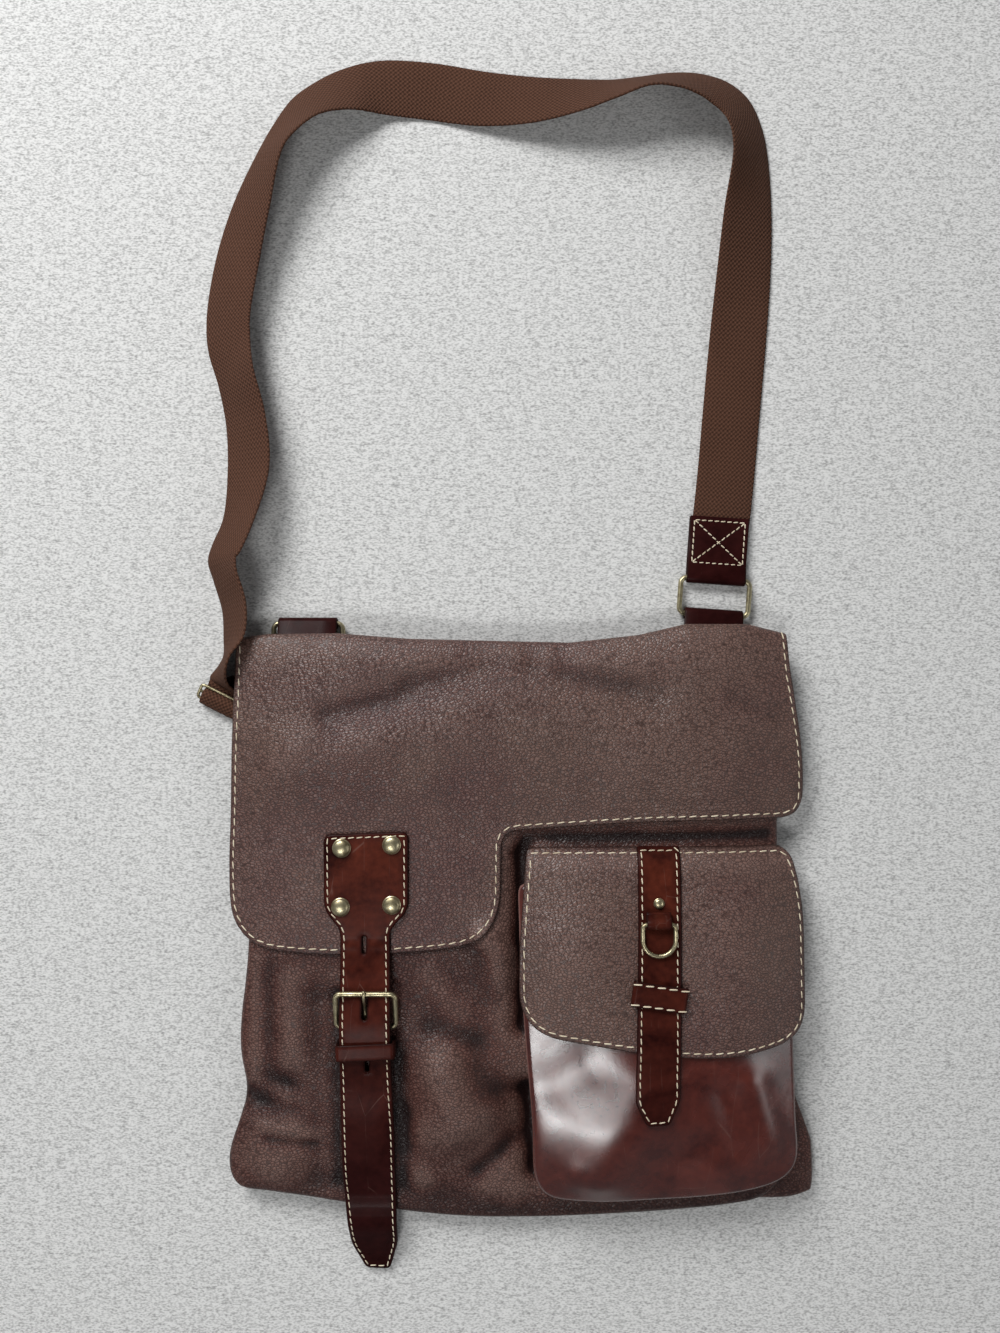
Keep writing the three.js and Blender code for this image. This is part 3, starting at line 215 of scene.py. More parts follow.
FLAP_OUTLINE = table(
    Corner,
    (-170.2, 61, 1), (-170.4, 4, 6), (-176.5, -128, 18), (-174.5, -181.5, 33), (-85, -187.3, 50),
    (0, -177.5, 34), (1, -106, 11), (100, -99, 40), (197.5, -98, 18), (196.5, -60, 14), (186, 4, 8),
    (183, 61, 1),
)
FLAP_FOLD = table(
    Row,
    (-180, 17.5), (-150, 21), (-105, 21.5), (-60, 18), (45, 15.5), (90, 20.5), (120, 27.5), (160, 27.5),
    (195, 19),
)
FLAP_FOLD_LENGTH = 46.0

# Closure strap
BELT_OUTLINE = table(
    Corner,
    (-113, -107.5, 5), (-58.5, -105.5, 5), (-58.7, -156.5, 6), (-70.4, -168.5, 5), (-66.8, -377, 6),
    (-72.8, -399.5, 3), (-89, -398.5, 3), (-97.8, -379, 6), (-101.8, -335, 12), (-102.2, -168.5, 5),
    (-112.7, -156, 6),
)
BELT_FLAP_END = -185.0
BELT_ROUTE = table(
    Row,
    (-306, 0), (-288, 2.6), (-270, 3.8), (-252, 7.2), (-234, 10.2), (-216, 8.0), (-198, 4.4),
)
BELT_DROP = table(Row, (-414, 0.3), (-396, 0.8), (-378, 7.5), (-360, 16.6))
BELT_DROP_FROM = -352.0
BELT_SMOOTHING = 9.0
SLOT_LENGTH = 11.0
SLOT_WIDTH = 2.4
SLOTS = [(-87.0, -178.0), (-84.5, -252.0)]
PRONG_SLOT = (-86.0, -216.8)
PRONG_SLOT_LENGTH = 15.0
PRONG_SLOT_WIDTH = 3.4

# Buckle
BUCKLE_X = -85.5
BUCKLE_WIRE = 1.7
BUCKLE_WIDTH = 38.0
BUCKLE_CORNER = 3.5
PRONG_RADIUS = 0.95
PRONG_HOOK_START = 120.0
PRONG_HOOK_END = 350.0
# Steps (past, over) from the pivot, then (past, drop) from the rest on the top bar
PRONG_RISE = [(6.0, 1.2), (12.9, 3.0)]
PRONG_REST = [(-3.0, 0.8), (0.0, 0.0), (2.6, 0.5)]
PRONG_STEPS = 3
STRAP_RIVET_COUNT = 4
RIVET_RIM_SHARE = 0.22
RIVET_DOME_SHARE = 0.9
# Shares of a rivet's radius and of its rim's height
RIVET_RIM = [(0.97, 0.9), (1.0, 0.5)]
KEEPER_BEND = 1.8
BAR_LOOP_SLANT = 25.0
CHAPE_WIDTH = 27.0
CHAPE_LOOP_END = -246.0
BUCKLE_KEEPER = Keeper(-85.3, -243.6, 37.6, 10.4, 2.5)

# Pocket
POCKET_LEFT = 11.0
POCKET_RIGHT = 192.0
POCKET_BOTTOM = -344.0
POCKET_MOUTH = -138.0
POCKET_EDGE_SHARE = 0.6
POCKET_REACH = 60.0
POCKET_DEPTH = table(Row, (-345, 18), (-225, 18), (-165, 13), (-120, 6))
POCKET_SEAM = table(
    Seam,
    (14, -141, 2, 0), (17, -215, 4, 0), (23, -290, 4, 0), (24.6, -324, 3, 2), (31, -336, 2, 4),
    (55, -339.6, 0, 4), (124, -336.4, 0, 4), (178, -326.4, -1, 4), (187.8, -317, -3, 3), (187, -290, -4, 0),
    (185, -235, -4, 0), (182, -141, -2, 0),
)
POCKET_DENTS = table(
    Fold,
    (66, -318, 92, -262, 4.0, 20), (48, -322, 62, -326, 1.5, 9), (34, -262, 52, -250, -2.0, 16),
    (100, -318, 126, -300, -2.2, 14), (160, -262, 172, -300, 2.6, 9), (140, -268, 148, -304, -1.6, 9),
)
POCKET_FLAP_OUTLINE = table(
    Corner,
    (17, -116.8, 4), (186, -116.4, 10), (194.8, -148, 20), (195.4, -236.5, 22), (138, -246.4, 28),
    (85, -240.8, 20), (12.8, -229.4, 26), (11.8, -185, 14),
)
POCKET_FLAP_SEWN = -116.5
POCKET_FLAP_ROUNDS_BY = -131.0
PILLOW_HEIGHT = 5.0
PILLOW_REACH = 30.0
PILLOW_SLIMNESS = 0.7
PILLOWS = [(49.0, -181.0), (152.0, -185.0)]
POCKET_STRAP_OUTLINE = table(
    Corner,
    (87.2, -115.8, 1), (114.4, -115.8, 1), (112.2, -270.5, 3), (105.6, -285.6, 3), (91, -285.6, 3),
    (84.2, -271.5, 3),
)
POCKET_STRAP_ON_FLAP = -247.0
POCKET_STRAP_SMOOTHING = 6.0
POCKET_KEEPER = Keeper(99.2, -205.2, 34.4, 16, -8)
RING_X = 99.0
RING_WIDTH = 20.4
RING_WIRE = 1.4
RING_BAR_CORNER = 2.4
RING_FAR_FLAT = 0.1
RING_LOOP_WIDTH = 15.6
RING_LOOP_RETURN = -155.0

# Shoulder strap and its fittings
STRAP_WIRE = 1.7
STRAP_RING_WIDTH = 45.6
STRAP_RING_LENGTH = 23.6
STRAP_RING_CORNER = 4.0
STRAP_RING_Z = 4.5
TAB_WIDTH = 39.0
TAB_CLEARANCE = 0.35
TAB_SEWN_Y = -12.0
RIGHT_FITTING = (142.0, 46.0)
RIGHT_FITTING_TURN = -4.0
LEFT_RING = (-127.0, 28.5)
TAB_BEND = 2.0
TAB_ARC_START = 75.0
TAB_ARC_END = -155.0
END_TAB_LENGTH = 41.0
END_TAB_BEND = 11.0
END_BOX_INSET = 2.8
END_BOX_LENGTH = 28.0
END_BOX_WIDTH = 33.5
WEBBING_CUP = -0.5
WEBBING_COLUMNS = 9
SLIDER = (-177.2, -21.0)
SLIDER_ACROSS = -26.0
SLIDER_WIRE = 1.0
SLIDER_WIDTH = 43.4
SLIDER_CORNER = 2.0
SLIDER_BAR_STEP = 4.6
SLIDER_FRONT_Z = 6.2
SLIDER_REAR_Z = 3.7
UNDER_STRAP_Z = 1.45
STRAP_END_RISE = 1.8
STRAP_END_ROWS = 2
STRAP_TAIL = 12.0
STRAP_TAIL_DROP = 0.6
STRAP_ROUTE = table(
    Station,
    (164.6, 86, 0), (166.6, 103, 0), (169.5, 128, 0), (172, 157, 0), (177, 215, 2), (180, 260, 12),
    (180.5, 300, 25), (178, 337, 42), (174, 358, 42), (165.5, 376.5, 38), (152, 388, 38), (133, 394, 43),
    (113, 394.5, 50), (94, 392, 55), (74, 390, 47), (54, 390.5, 34), (24, 392, 18), (-8, 395.5, 5),
    (-45, 401.5, 0), (-80, 403, 6), (-104, 397.5, 20), (-122, 389, 30), (-138, 377.5, 37), (-150, 361, 45),
    (-160, 343.5, 50), (-177, 308, 36), (-189, 270, 28), (-195, 232, 29), (-194, 210, 31), (-187, 186, 40),
    (-182, 160, 36), (-181, 130, 33), (-184, 98, 46), (-191.5, 80, 48), (-194, 70, 48), (-190, 56, 53),
    (-184.5, 37, 53), (-183.5, 19, 57),
)
STRAP_TWIST = [
    Edges((-183.5, 7, 1.1), (-171, 7, 36)),
    Edges((-187, 0, 1.2), (-174.5, -3.5, 33)),
    Edges((-192.5, -7, 2), (-175, -13, 20)),
]
SLIDER_PASS = table(
    Row,
    (-4, 4), (0, 3.4), (SLIDER_BAR_STEP, 7.5), (2 * SLIDER_BAR_STEP, 6.05), (11.4, 3.7),
    (2 * SLIDER_BAR_STEP, UNDER_STRAP_Z), (3, UNDER_STRAP_Z),
)
UNDER_BAG = table(
    Middle,
    (-163, -14, UNDER_STRAP_Z, -22), (-143, -7, UNDER_STRAP_Z, -9), (-128, -2, UNDER_STRAP_Z, 0),
)

# The plan's own origin in the CAD frame, from a rivet whose place in plan is known
FIRST_RIVET = np.array([-101.2, -116.0])
rivet_low, rivet_high = (np.array(corner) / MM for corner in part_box("strap_rivet_1"))
SHIFT = np.append((rivet_low + rivet_high)[:2] / 2 - FIRST_RIVET, 0.0)

# Finish: turned-down rims, stitch lines and the weave, in mm
FRONT_ROLL = 5.0
POCKET_ROLL = 4.0
FLAP_STITCH_INSET = 3.2
FLAP_STITCH_TOP = 24.0
BELT_STITCH_INSET = 2.6
POCKET_STITCH_TOP = -118.5
POCKET_STRAP_STITCH_TOP = -117.5
KEEPER_STITCH_INSET = 1.65
KEEPER_STITCH_OVERRUN = 1.2
WARP_PITCH = 2.8
WEFT_PITCH = 3.0

# Stage: lengths in mm, and brightness all round
FLOOR_REACH = 2500.0
FLOOR_DROP = 0.2
SENSOR = 36.0
CAMERA_HEIGHT = 700.0
VIEW_LENGTH = 888.7
SKY_WHITE = (0.94, 0.96, 1.0, 1)
WALL_BRIGHTNESS = 0.20
CEILING_BRIGHTNESS = 0.02
CEILING_FROM = 0.55
CEILING_FULL = 0.96

# Mesh fineness
OUTLINE_STEP = 2.0
CORNER_STEPS = 9
RELAX_PASSES = 12
INSET_MOVE = 0.4
INSET_EASES_FROM = 3.5
SPACING = 3.2
FINE_SPACING = 2.4
COARSE_SPACING = 8.0
GUSSET_COLUMNS = 9
RIM_SHARE = 0.3
ROLL_SHARES = (0.15, 0.35, 0.6, 0.8, 1.0)
INNER_SHARE = 0.6
SLOPE_STEP = 0.5
AVERAGE_STEPS = 7
RELIEF_REACH = 11.0
RELIEF_SIDES = 8
CURVE_STEPS = 8
TUBE_SIDES = 16
LATHE_SIDES = 48
RIBBON_COLUMNS = 5
MERGE_DISTANCE = 1e-7
FILL_INSIDE = 1


# Numbers along and across the bag


def ramp(value, start, end):
    share = np.clip((value - start) / (end - start), 0, 1)
    return share * share * (3 - 2 * share)


def dome(distance, reach):
    rest = 1 - np.clip(distance / reach, 0, 1)
    return 1 - rest * rest


def table_value(rows, at):
    return np.interp(at, [row.at for row in rows], [row.value for row in rows])


def fold_sum(folds, x, y):
    total = np.zeros(np.shape(x))
    for fold in folds:
        run_x = fold.x2 - fold.x1
        run_y = fold.y2 - fold.y1
        share = ((x - fold.x1) * run_x + (y - fold.y1) * run_y) / (run_x**2 + run_y**2)
        share = np.clip(share, 0, 1)
        distance = np.hypot(x - fold.x1 - share * run_x, y - fold.y1 - share * run_y)
        total += fold.height * np.exp(-((distance / fold.spread) ** 2))
    return total


def ripple(x, y):
    """Soft unevenness of the leather."""
    places = zip(np.ravel(x) / RIPPLE_LENGTH, np.ravel(y) / RIPPLE_LENGTH)
    heights = [noise.noise(Vector((across, up, RIPPLE_LEVEL))) for across, up in places]
    return RIPPLE_HEIGHT * np.reshape(heights, np.shape(x))


def averaged(height, x, y, span):
    """Height smoothed along the bag over the span each way."""
    offsets = np.linspace(-span, span, AVERAGE_STEPS)
    return sum(height(x, y + offset) for offset in offsets) / len(offsets)


# Heights of the leather layers, from the surface up


def raised(height, rise):
    return lambda x, y: height(x, y) + rise


def front_under(x, y):
    side = np.minimum(x - BODY_LEFT, BODY_RIGHT - x)
    edge = EDGE_HEIGHT + MOUTH_LIFT * ramp(y, MOUTH_LIFT_FROM, MOUTH_LIFT_TO)
    crown = CROWN * dome(side, CROWN_REACH) * dome(y - BODY_BOTTOM, CROWN_REACH)
    inside = ramp(side, -FOLD_MARGIN, FOLD_MARGIN) * ramp(y - BODY_BOTTOM, -FOLD_MARGIN, FOLD_MARGIN)
    folds = fold_sum(BODY_FOLDS + FINE_FOLDS, x, y) + ripple(x, y)
    droop = OVERHANG_DROOP * ramp(-side, 0, OVERHANG_REACH)
    return edge + crown + folds * inside - droop


front_top = raised(front_under, WALL)


def front_hollowed(x, y):
    return front_under(x, y) + fold_sum(HOLLOWS, x, y)


flap_under = raised(front_top, GAP)
flap_top = raised(flap_under, WALL)


def belt_path(x, y):
    on_flap = flap_top(x, y) + GAP
    on_front = front_top(x, y) + GAP + table_value(BELT_ROUTE, y)
    hanging = table_value(BELT_DROP, y)
    return np.where(y >= BELT_FLAP_END, on_flap, np.where(y < BELT_DROP_FROM, hanging, on_front))


def belt_under(x, y):
    return averaged(belt_path, x, y, BELT_SMOOTHING)


def pocket_under(x, y):
    sides = dome(x - POCKET_LEFT, POCKET_REACH) * dome(POCKET_RIGHT - x, POCKET_REACH)
    share = POCKET_EDGE_SHARE + (1 - POCKET_EDGE_SHARE) * sides * dome(y - POCKET_BOTTOM, POCKET_REACH)
    dents = fold_sum(POCKET_DENTS, x, y)
    return front_top(x, y) + table_value(POCKET_DEPTH, y) * share + dents


pocket_top = raised(pocket_under, WALL)


def pillow(x, y):
    swell = np.zeros(np.shape(x))
    for centre_x, centre_y in PILLOWS:
        distance = np.hypot(x - centre_x, (y - centre_y) * PILLOW_SLIMNESS) / PILLOW_REACH
        swell += np.exp(-(distance**2))
    return PILLOW_HEIGHT * swell


def pocket_flap_under(x, y):
    sewn = front_top(x, y) + GAP
    over = pocket_top(x, y) + GAP + pillow(x, y)
    rest = 1 - np.clip((POCKET_FLAP_SEWN - y) / (POCKET_FLAP_SEWN - POCKET_FLAP_ROUNDS_BY), 0, 1)
    return sewn + (over - sewn) * np.sqrt(1 - rest**2)


pocket_flap_top = raised(pocket_flap_under, WALL)


def pocket_strap_path(x, y):
    on_flap = pocket_flap_top(x, y) + GAP
    on_pocket = pocket_top(x, y) + GAP
    return np.where(y >= POCKET_STRAP_ON_FLAP, on_flap, on_pocket)


def pocket_strap_under(x, y):
    smooth = averaged(pocket_strap_path, x, y, POCKET_STRAP_SMOOTHING)
    return np.where(y > POCKET_FLAP_ROUNDS_BY, pocket_strap_path(x, y), smooth)


def back_under(x, y):
    share = np.clip((y - BACK_RAISE_FROM) / (BACK_RAISE_TO - BACK_RAISE_FROM), 0, 1)
    return BACK_RAISE * share + np.zeros(np.shape(x))


def lying(height):
    """Place on a layer: plan points to points in space."""
    return lambda flat: np.column_stack([flat, height(flat[:, 0], flat[:, 1])])


def flap_place(flat):
    """Main flap from its flat cut: front layer, half-round fold over the mouth, then the sewn strip."""
    x, along = flat.T
    upper = flap_under(x, np.minimum(along, 0))
    lower = FLAP_STRIP_Z + WALL
    reach = table_value(FLAP_FOLD, x) - WALL
    angle = pi / 2 - pi * np.clip(along / FLAP_FOLD_LENGTH, 0, 1)
    fold_y = reach * np.cos(angle) - np.maximum(along - FLAP_FOLD_LENGTH, 0)
    fold_z = (upper + lower) / 2 + (upper - lower) / 2 * np.sin(angle)
    return np.column_stack([x, np.where(along > 0, fold_y, along), np.where(along > 0, fold_z, upper)])


# Lines


def unit(vectors):
    """Vectors brought to a length of 1."""
    return vectors / np.linalg.norm(vectors, axis=-1, keepdims=True)


def circle(sides):
    angles = np.linspace(0, 2 * pi, sides, endpoint=False)
    return np.column_stack([np.cos(angles), np.sin(angles)])


def arc(centre, radius, start, end):
    """Points about a centre from one angle to another. radius is one length, or one for each direction."""
    angles = np.linspace(start, end, CORNER_STEPS)
    return centre + radius * np.column_stack([np.cos(angles), np.sin(angles)])


def lengths_along(points):
    return np.append(0, np.cumsum(np.linalg.norm(np.diff(points, axis=0), axis=1)))


def values_along(at, lengths, points):
    """Points of a line at the given lengths along it."""
    return np.column_stack([np.interp(at, lengths, column) for column in points.T])


def even_line(points, step=OUTLINE_STEP):
    """Open line with points at even distances."""
    lengths = lengths_along(points)
    at = np.linspace(0, lengths[-1], max(2, round(lengths[-1] / step) + 1))
    return values_along(at, lengths, points)


def loop_area(loop):
    """Area inside a closed line, positive if it runs counter-clockwise."""
    x, y = loop.T
    return np.sum(x * np.roll(y, -1) - y * np.roll(x, -1)) / 2


def even_loop(points):
    """Closed line with points at even distances, counter-clockwise."""
    loop = even_line(np.vstack([points, points[:1]]))[:-1]
    return loop if loop_area(loop) > 0 else loop[::-1]


def rounded_outline(corners):
    points = np.array([(corner.x, corner.y) for corner in corners])
    line = []
    for corner, here, before, after in zip(corners, points, np.roll(points, 1, 0), np.roll(points, -1, 0)):
        start = here + corner.round * unit(before - here)
        end = here + corner.round * unit(after - here)
        share = np.linspace(0, 1, CORNER_STEPS)[:, None]
        line.append((1 - share) ** 2 * start + 2 * share * (1 - share) * here + share**2 * end)
    return even_loop(np.vstack(line))


def spline(points, steps=CURVE_STEPS):
    """Centripetal curve through the points, with the given steps between each two."""
    points = np.array(points, dtype=float)
    padded = np.vstack([2 * points[0] - points[1], points, 2 * points[-1] - points[-2]])
    line = [points[:1]]
    for first, second, third, fourth in zip(padded, padded[1:], padded[2:], padded[3:]):
        sides = np.diff([first, second, third, fourth], axis=0)
        knots = np.append(0, np.cumsum(np.sqrt(np.linalg.norm(sides, axis=1))))
        span = knots[2] - knots[1]
        middle = (third - second) / span
        start = (second - first) / knots[1] - (third - first) / knots[2] + middle
        end = middle - (fourth - second) / (knots[3] - knots[1]) + (fourth - third) / (knots[3] - knots[2])
        share = (np.arange(1, steps + 1) / steps)[:, None]
        line.append(
            second * (2 * share**3 - 3 * share**2 + 1)
            + start * span * (share**3 - 2 * share**2 + share)
            + third * (3 * share**2 - 2 * share**3)
            + end * span * (share**3 - share**2)
        )
    return np.vstack(line)


def relaxed(loop, passes):
    """Closed line with its corners eased."""
    for _ in range(passes):
        loop = (np.roll(loop, 1, 0) + 2 * loop + np.roll(loop, -1, 0)) / 4
    return loop


def inwards(loop):
    """Directions square to a closed counter-clockwise line."""
    tangent = unit(np.roll(loop, -1, 0) - np.roll(loop, 1, 0))
    return np.column_stack([-tangent[:, 1], tangent[:, 0]])


def inset(loop, distance):
    """Closed line moved inwards. A long way in, small eased moves keep tight corners from crossing."""
    if distance < INSET_EASES_FROM:
        return loop + distance * inwards(loop)
    moves = int(np.ceil(distance / INSET_MOVE))
    for _ in range(moves):
        loop = relaxed(loop + distance / moves * inwards(loop), 1)
    return loop


def seam_outline(points, top):
    """Panel outline: its seam moved outwards by the margin, closed straight across the top."""
    seam = spline(points)
    tangent = unit(np.gradient(seam, axis=0))
    edge = seam + SEAM_MARGIN * np.column_stack([tangent[:, 1], -tangent[:, 0]])
    ends = np.array([[edge[-1, 0], top], [edge[0, 0], top]])
    return relaxed(even_loop(np.vstack([edge, ends])), RELAX_PASSES)


def slot_loop(centre, length, width):
    """Clockwise outline of a slot with round ends."""
    cap = arc((0, (length - width) / 2), width / 2, 0, pi)
    return (np.vstack([cap, -cap]) + centre)[::-1]


def inside_loops(points, loops):
    """Which points lie inside an odd number of the loops."""
    inside = np.zeros(len(points), dtype=bool)
    x, y = points.T
    for loop in loops:
        for (x1, y1), (x2, y2) in zip(loop, np.roll(loop, -1, 0)):
            crosses = (y1 > y) != (y2 > y)
            if y1 != y2:
                inside ^= crosses & (x < x1 + (y - y1) * (x2 - x1) / (y2 - y1))
    return inside


# Meshes


def mesh_object(name, vertices, faces, flat=None, **shades):
    """Mesh from plan millimetres. flat gives its texture places, and shades hold a value for each point."""
    mesh = bpy.data.meshes.new(name)
    mesh.from_pydata(((vertices + SHIFT) * MM).tolist(), [], faces)
    mesh.shade_smooth()
    if flat is not None:
        corners = np.zeros(len(mesh.loops), dtype=np.int32)
        mesh.loops.foreach_get("vertex_index", corners)
        layer = mesh.uv_layers.new(name="flat")
        layer.data.foreach_set("uv", (flat[corners] * MM).astype(np.float32).ravel())
    for shade, values in shades.items():
        layer = mesh.attributes.new(shade, "FLOAT", "POINT")
        layer.data.foreach_set("value", np.asarray(values, dtype=np.float32))
    shape = bmesh.new()
    shape.from_mesh(mesh)
    bmesh.ops.remove_doubles(shape, verts=shape.verts, dist=MERGE_DISTANCE)
    bmesh.ops.recalc_face_normals(shape, faces=shape.faces)
    shape.to_mesh(mesh)
    shape.free()
    piece = bpy.data.objects.new(name, mesh)
    bpy.context.collection.objects.link(piece)
    return piece


def surface_normals(place, flat):
    across = place(flat + [SLOPE_STEP, 0]) - place(flat - [SLOPE_STEP, 0])
    along = place(flat + [0, SLOPE_STEP]) - place(flat - [0, SLOPE_STEP])
    return unit(np.cross(across, along))


def relief(place, flat):
    """How far each point stands above its surroundings."""
    around = RELIEF_REACH * circle(RELIEF_SIDES)
    return place(flat)[:, 2] - np.mean([place(flat + step)[:, 2] for step in around], axis=0)


def ring_faces(rings, sides, start=0, closed=False):
    """Quads between rings of points. If closed, the last ring meets the first."""
    faces = []
    for ring in range(rings if closed else rings - 1):
        here = start + ring * sides
        above = start + (ring + 1) % rings * sides
        for turn in range(sides):
            after = (turn + 1) % sides
            faces.append([here + turn, above + turn, above + after, here + after])
    return faces


def rod_faces(rings, sides, start=0):
    """Quads between rings of points, with a face at each end."""
    ends = [list(range(end, end + sides)) for end in (start, start + (rings - 1) * sides)]
    return ring_faces(rings, sides, start) + ends


def inner_points(loops, spacing):
    """Staggered points inside the loops, clear of their lines."""
    low = loops[0].min(axis=0)
    high = loops[0].max(axis=0)
    rows = np.arange(low[1], high[1], spacing * np.sqrt(3) / 2)
    columns = np.arange(low[0], high[0], spacing)
    points = np.array([(x + spacing / 2 * (index % 2), y) for index, y in enumerate(rows) for x in columns])
    points = points[inside_loops(points, loops)]
    lines = np.vstack(loops)
    clear = [np.min(np.hypot(*(lines - point).T)) > spacing * INNER_SHARE for point in points]
    return points[np.array(clear)]


def filled(loops, points):
    """Triangles over the loops' points and the inner points, as rows of indices."""
    links = []
    start = 0
    for loop in loops:
        links += [(start + index, start + (index + 1) % len(loop)) for index in range(len(loop))]
        start += len(loop)
    flat = np.vstack([*loops, points])
    places = [Vector(point) for point in flat]
    _, _, faces, sources, _, _ = delaunay_2d_cdt(places, links, [], FILL_INSIDE, MERGE_DISTANCE)
    triangles = np.array([[sources[corner][0] for corner in face] for face in faces])
    return triangles[~inside_loops(flat[triangles].mean(axis=1), loops[1:])]


def sheet(name, outline, place, wall, spacing=SPACING, roll=0.0, holes=()):
    """Leather sheet with rounded edges, from its flat outline and holes. roll turns its rim down."""
    rim = wall / 2
    depths = [0.0, RIM_SHARE * rim, rim] + [roll * share for share in ROLL_SHARES if roll * share > rim]
    loops = [outline, *holes]
    rings = [[inset(loop, depth) for depth in depths] for loop in loops]
    inner = [steps[-1] for steps in rings]
    points = inner_points(inner, spacing)
    triangles = filled(inner, points)

    flat = np.vstack([ring for steps in rings for ring in steps] + [points])
    edge = np.concatenate(
        [np.full(len(loop), depth) for loop in loops for depth in depths]
        + [np.min(np.hypot(*(np.vstack(loops) - point).T), keepdims=True) for point in points]
    )
    faces = []
    innermost = []
    start = 0
    for loop in loops:
        faces += ring_faces(len(depths), len(loop), start)
        start += len(depths) * len(loop)
        innermost.append(np.arange(start - len(loop), start))
    filled_places = np.concatenate([*innermost, np.arange(start, len(flat))])
    faces += filled_places[triangles].tolist()

    half = np.sqrt(np.maximum(rim**2 - np.maximum(rim - edge, 0) ** 2, 0))
    drop = roll - np.sqrt(np.maximum(roll**2 - np.maximum(roll - edge, 0) ** 2, 0))
    middle = place(flat)
    normal = surface_normals(place, flat)
    upper = middle + normal * (rim + half - drop)[:, None]
    lower = middle + normal * (rim - half - drop)[:, None]
    under = np.where(edge == 0, np.arange(len(flat)), np.arange(len(flat)) + len(flat))
    faces += [[int(under[corner]) for corner in reversed(face)] for face in faces]
    # relief also sets the painted shade in hollows and the painted highlight on ridges of pebbled leather
    shades = {"edge": np.tile(edge, 2), "relief": np.tile(relief(place, flat), 2)}
    return mesh_object(name, np.vstack([upper, lower]), faces, np.vstack([flat, flat]), **shades)


def ribbon_shares(width, wall, columns):
    """Places across a strip, with its half thickness there: round edges and an even middle."""
    rim = wall / 2
    lip = RIM_SHARE * rim
    places = np.array([0.0, lip, *np.linspace(rim, width - rim, columns), width - lip, width])
    depth = np.minimum(np.minimum(places, width - places), rim)
    return places / width, np.sqrt(rim**2 - (rim - depth) ** 2)


def shell(name, lattice, half, shares, width):
    """Strip of even wall about a lattice of middle points, closed at its ends."""
    rows, columns = lattice.shape[:2]
    normal = unit(np.cross(np.gradient(lattice, axis=1), np.gradient(lattice, axis=0)))
    upper = (lattice + normal * half[None, :, None]).reshape(-1, 3)
    lower = (lattice - normal * half[None, :, None]).reshape(-1, 3)
    count = rows * columns
    corners = [row * columns + column for row in range(rows - 1) for column in range(columns - 1)]
    faces = [[corner, corner + 1, corner + columns + 1, corner + columns] for corner in corners]
    faces += [[corner + count for corner in reversed(face)] for face in faces]
    for start in (0, count - columns):
        for column in range(start, start + columns - 1):
            faces.append([column, column + 1, count + column + 1, count + column])
    lengths = lengths_along(lattice[:, columns // 2])
    flat = np.stack(np.meshgrid(shares * width, lengths), axis=2).reshape(-1, 2)
    edge = np.tile(np.minimum(shares, 1 - shares) * width, 2 * rows)
    return mesh_object(name, np.vstack([upper, lower]), faces, np.vstack([flat, flat]), edge=edge)


def ribbon(name, low, high, wall, columns=RIBBON_COLUMNS, cup=0.0):
    """Strip between two edges, row by row. cup moves its middle out along the strip's normal."""
    width = float(np.mean(np.linalg.norm(high - low, axis=1)))
    shares, half = ribbon_shares(width, wall, columns)
    lattice = low[:, None] + (high - low)[:, None] * shares[None, :, None]
    normal = unit(np.cross(high - low, np.gradient((low + high) / 2, axis=0)))
    lattice = lattice + normal[:, None] * (cup * 4 * shares * (1 - shares))[None, :, None]
    return shell(name, lattice, half, shares, width)


def placed(place, points):
    """Points carried to a place given by a matrix."""
    return np.array([tuple(place @ Vector(point)) for point in points])


def folded_strip(name, profile, place, width, wall):
    """Strip with its middle line given as (along, up) points, across a place given by a matrix."""
    low, high = (placed(place, [(side, *point) for point in profile]) for side in (-width / 2, width / 2))
    return ribbon(name, low, high, wall)


def tube(name, path, radius, across, closed=False):
    """Round wire along a path that lies square to the direction across."""
    tangent = np.roll(path, -1, 0) - np.roll(path, 1, 0) if closed else np.gradient(path, axis=0)
    tangent = unit(tangent)
    side = unit(np.cross(tangent, across))
    up = np.cross(side, tangent)
    rings = [path + radius * (side * cosine + up * sine) for cosine, sine in circle(TUBE_SIDES)]
    vertices = np.stack(rings, axis=1).reshape(-1, 3)
    rows = len(path)
    faces = ring_faces(rows, TUBE_SIDES, closed=True) if closed else rod_faces(rows, TUBE_SIDES)
    return mesh_object(name, vertices, faces)


def lathe(name, profile, centre):
    """Solid turned about an upright line: profile is (radius, height) from the top's middle outwards."""
    turns = circle(LATHE_SIDES)
    rings = [np.column_stack([radius * turns, np.full(LATHE_SIDES, height)]) for radius, height in profile]
    return mesh_object(name, centre + np.vstack(rings), rod_faces(len(profile), LATHE_SIDES))


def wire_frame(name, place, width, length, wire, near, far):
    """Closed wire of straight bars about the origin of a place, its corners rounded by near and far."""
    corners = [
        (width / 2 - near, near - length / 2, near, -pi / 2),
        (width / 2 - far, length / 2 - far, far, 0),
        (far - width / 2, length / 2 - far, far, pi / 2),
        (near - width / 2, near - length / 2, near, pi),
    ]
    arcs = [arc((x, y), radius, start, start + pi / 2) for x, y, radius, start in corners]
    path = placed(place, [(*point, 0) for point in np.vstack(arcs)])
    return tube(name, path, wire, np.array(place.to_3x3() @ Vector((0, 0, 1))), closed=True)


# Thread


class Thread(NamedTuple):
    """Sizes of a row of stitches."""

    pitch: float
    length: float
    radius: float


class Bead(NamedTuple):
    """Ring of a stitch: its share of the way to the end, of the full radius, and of the sinking in."""

    reach: float
    swell: float
    sink: float


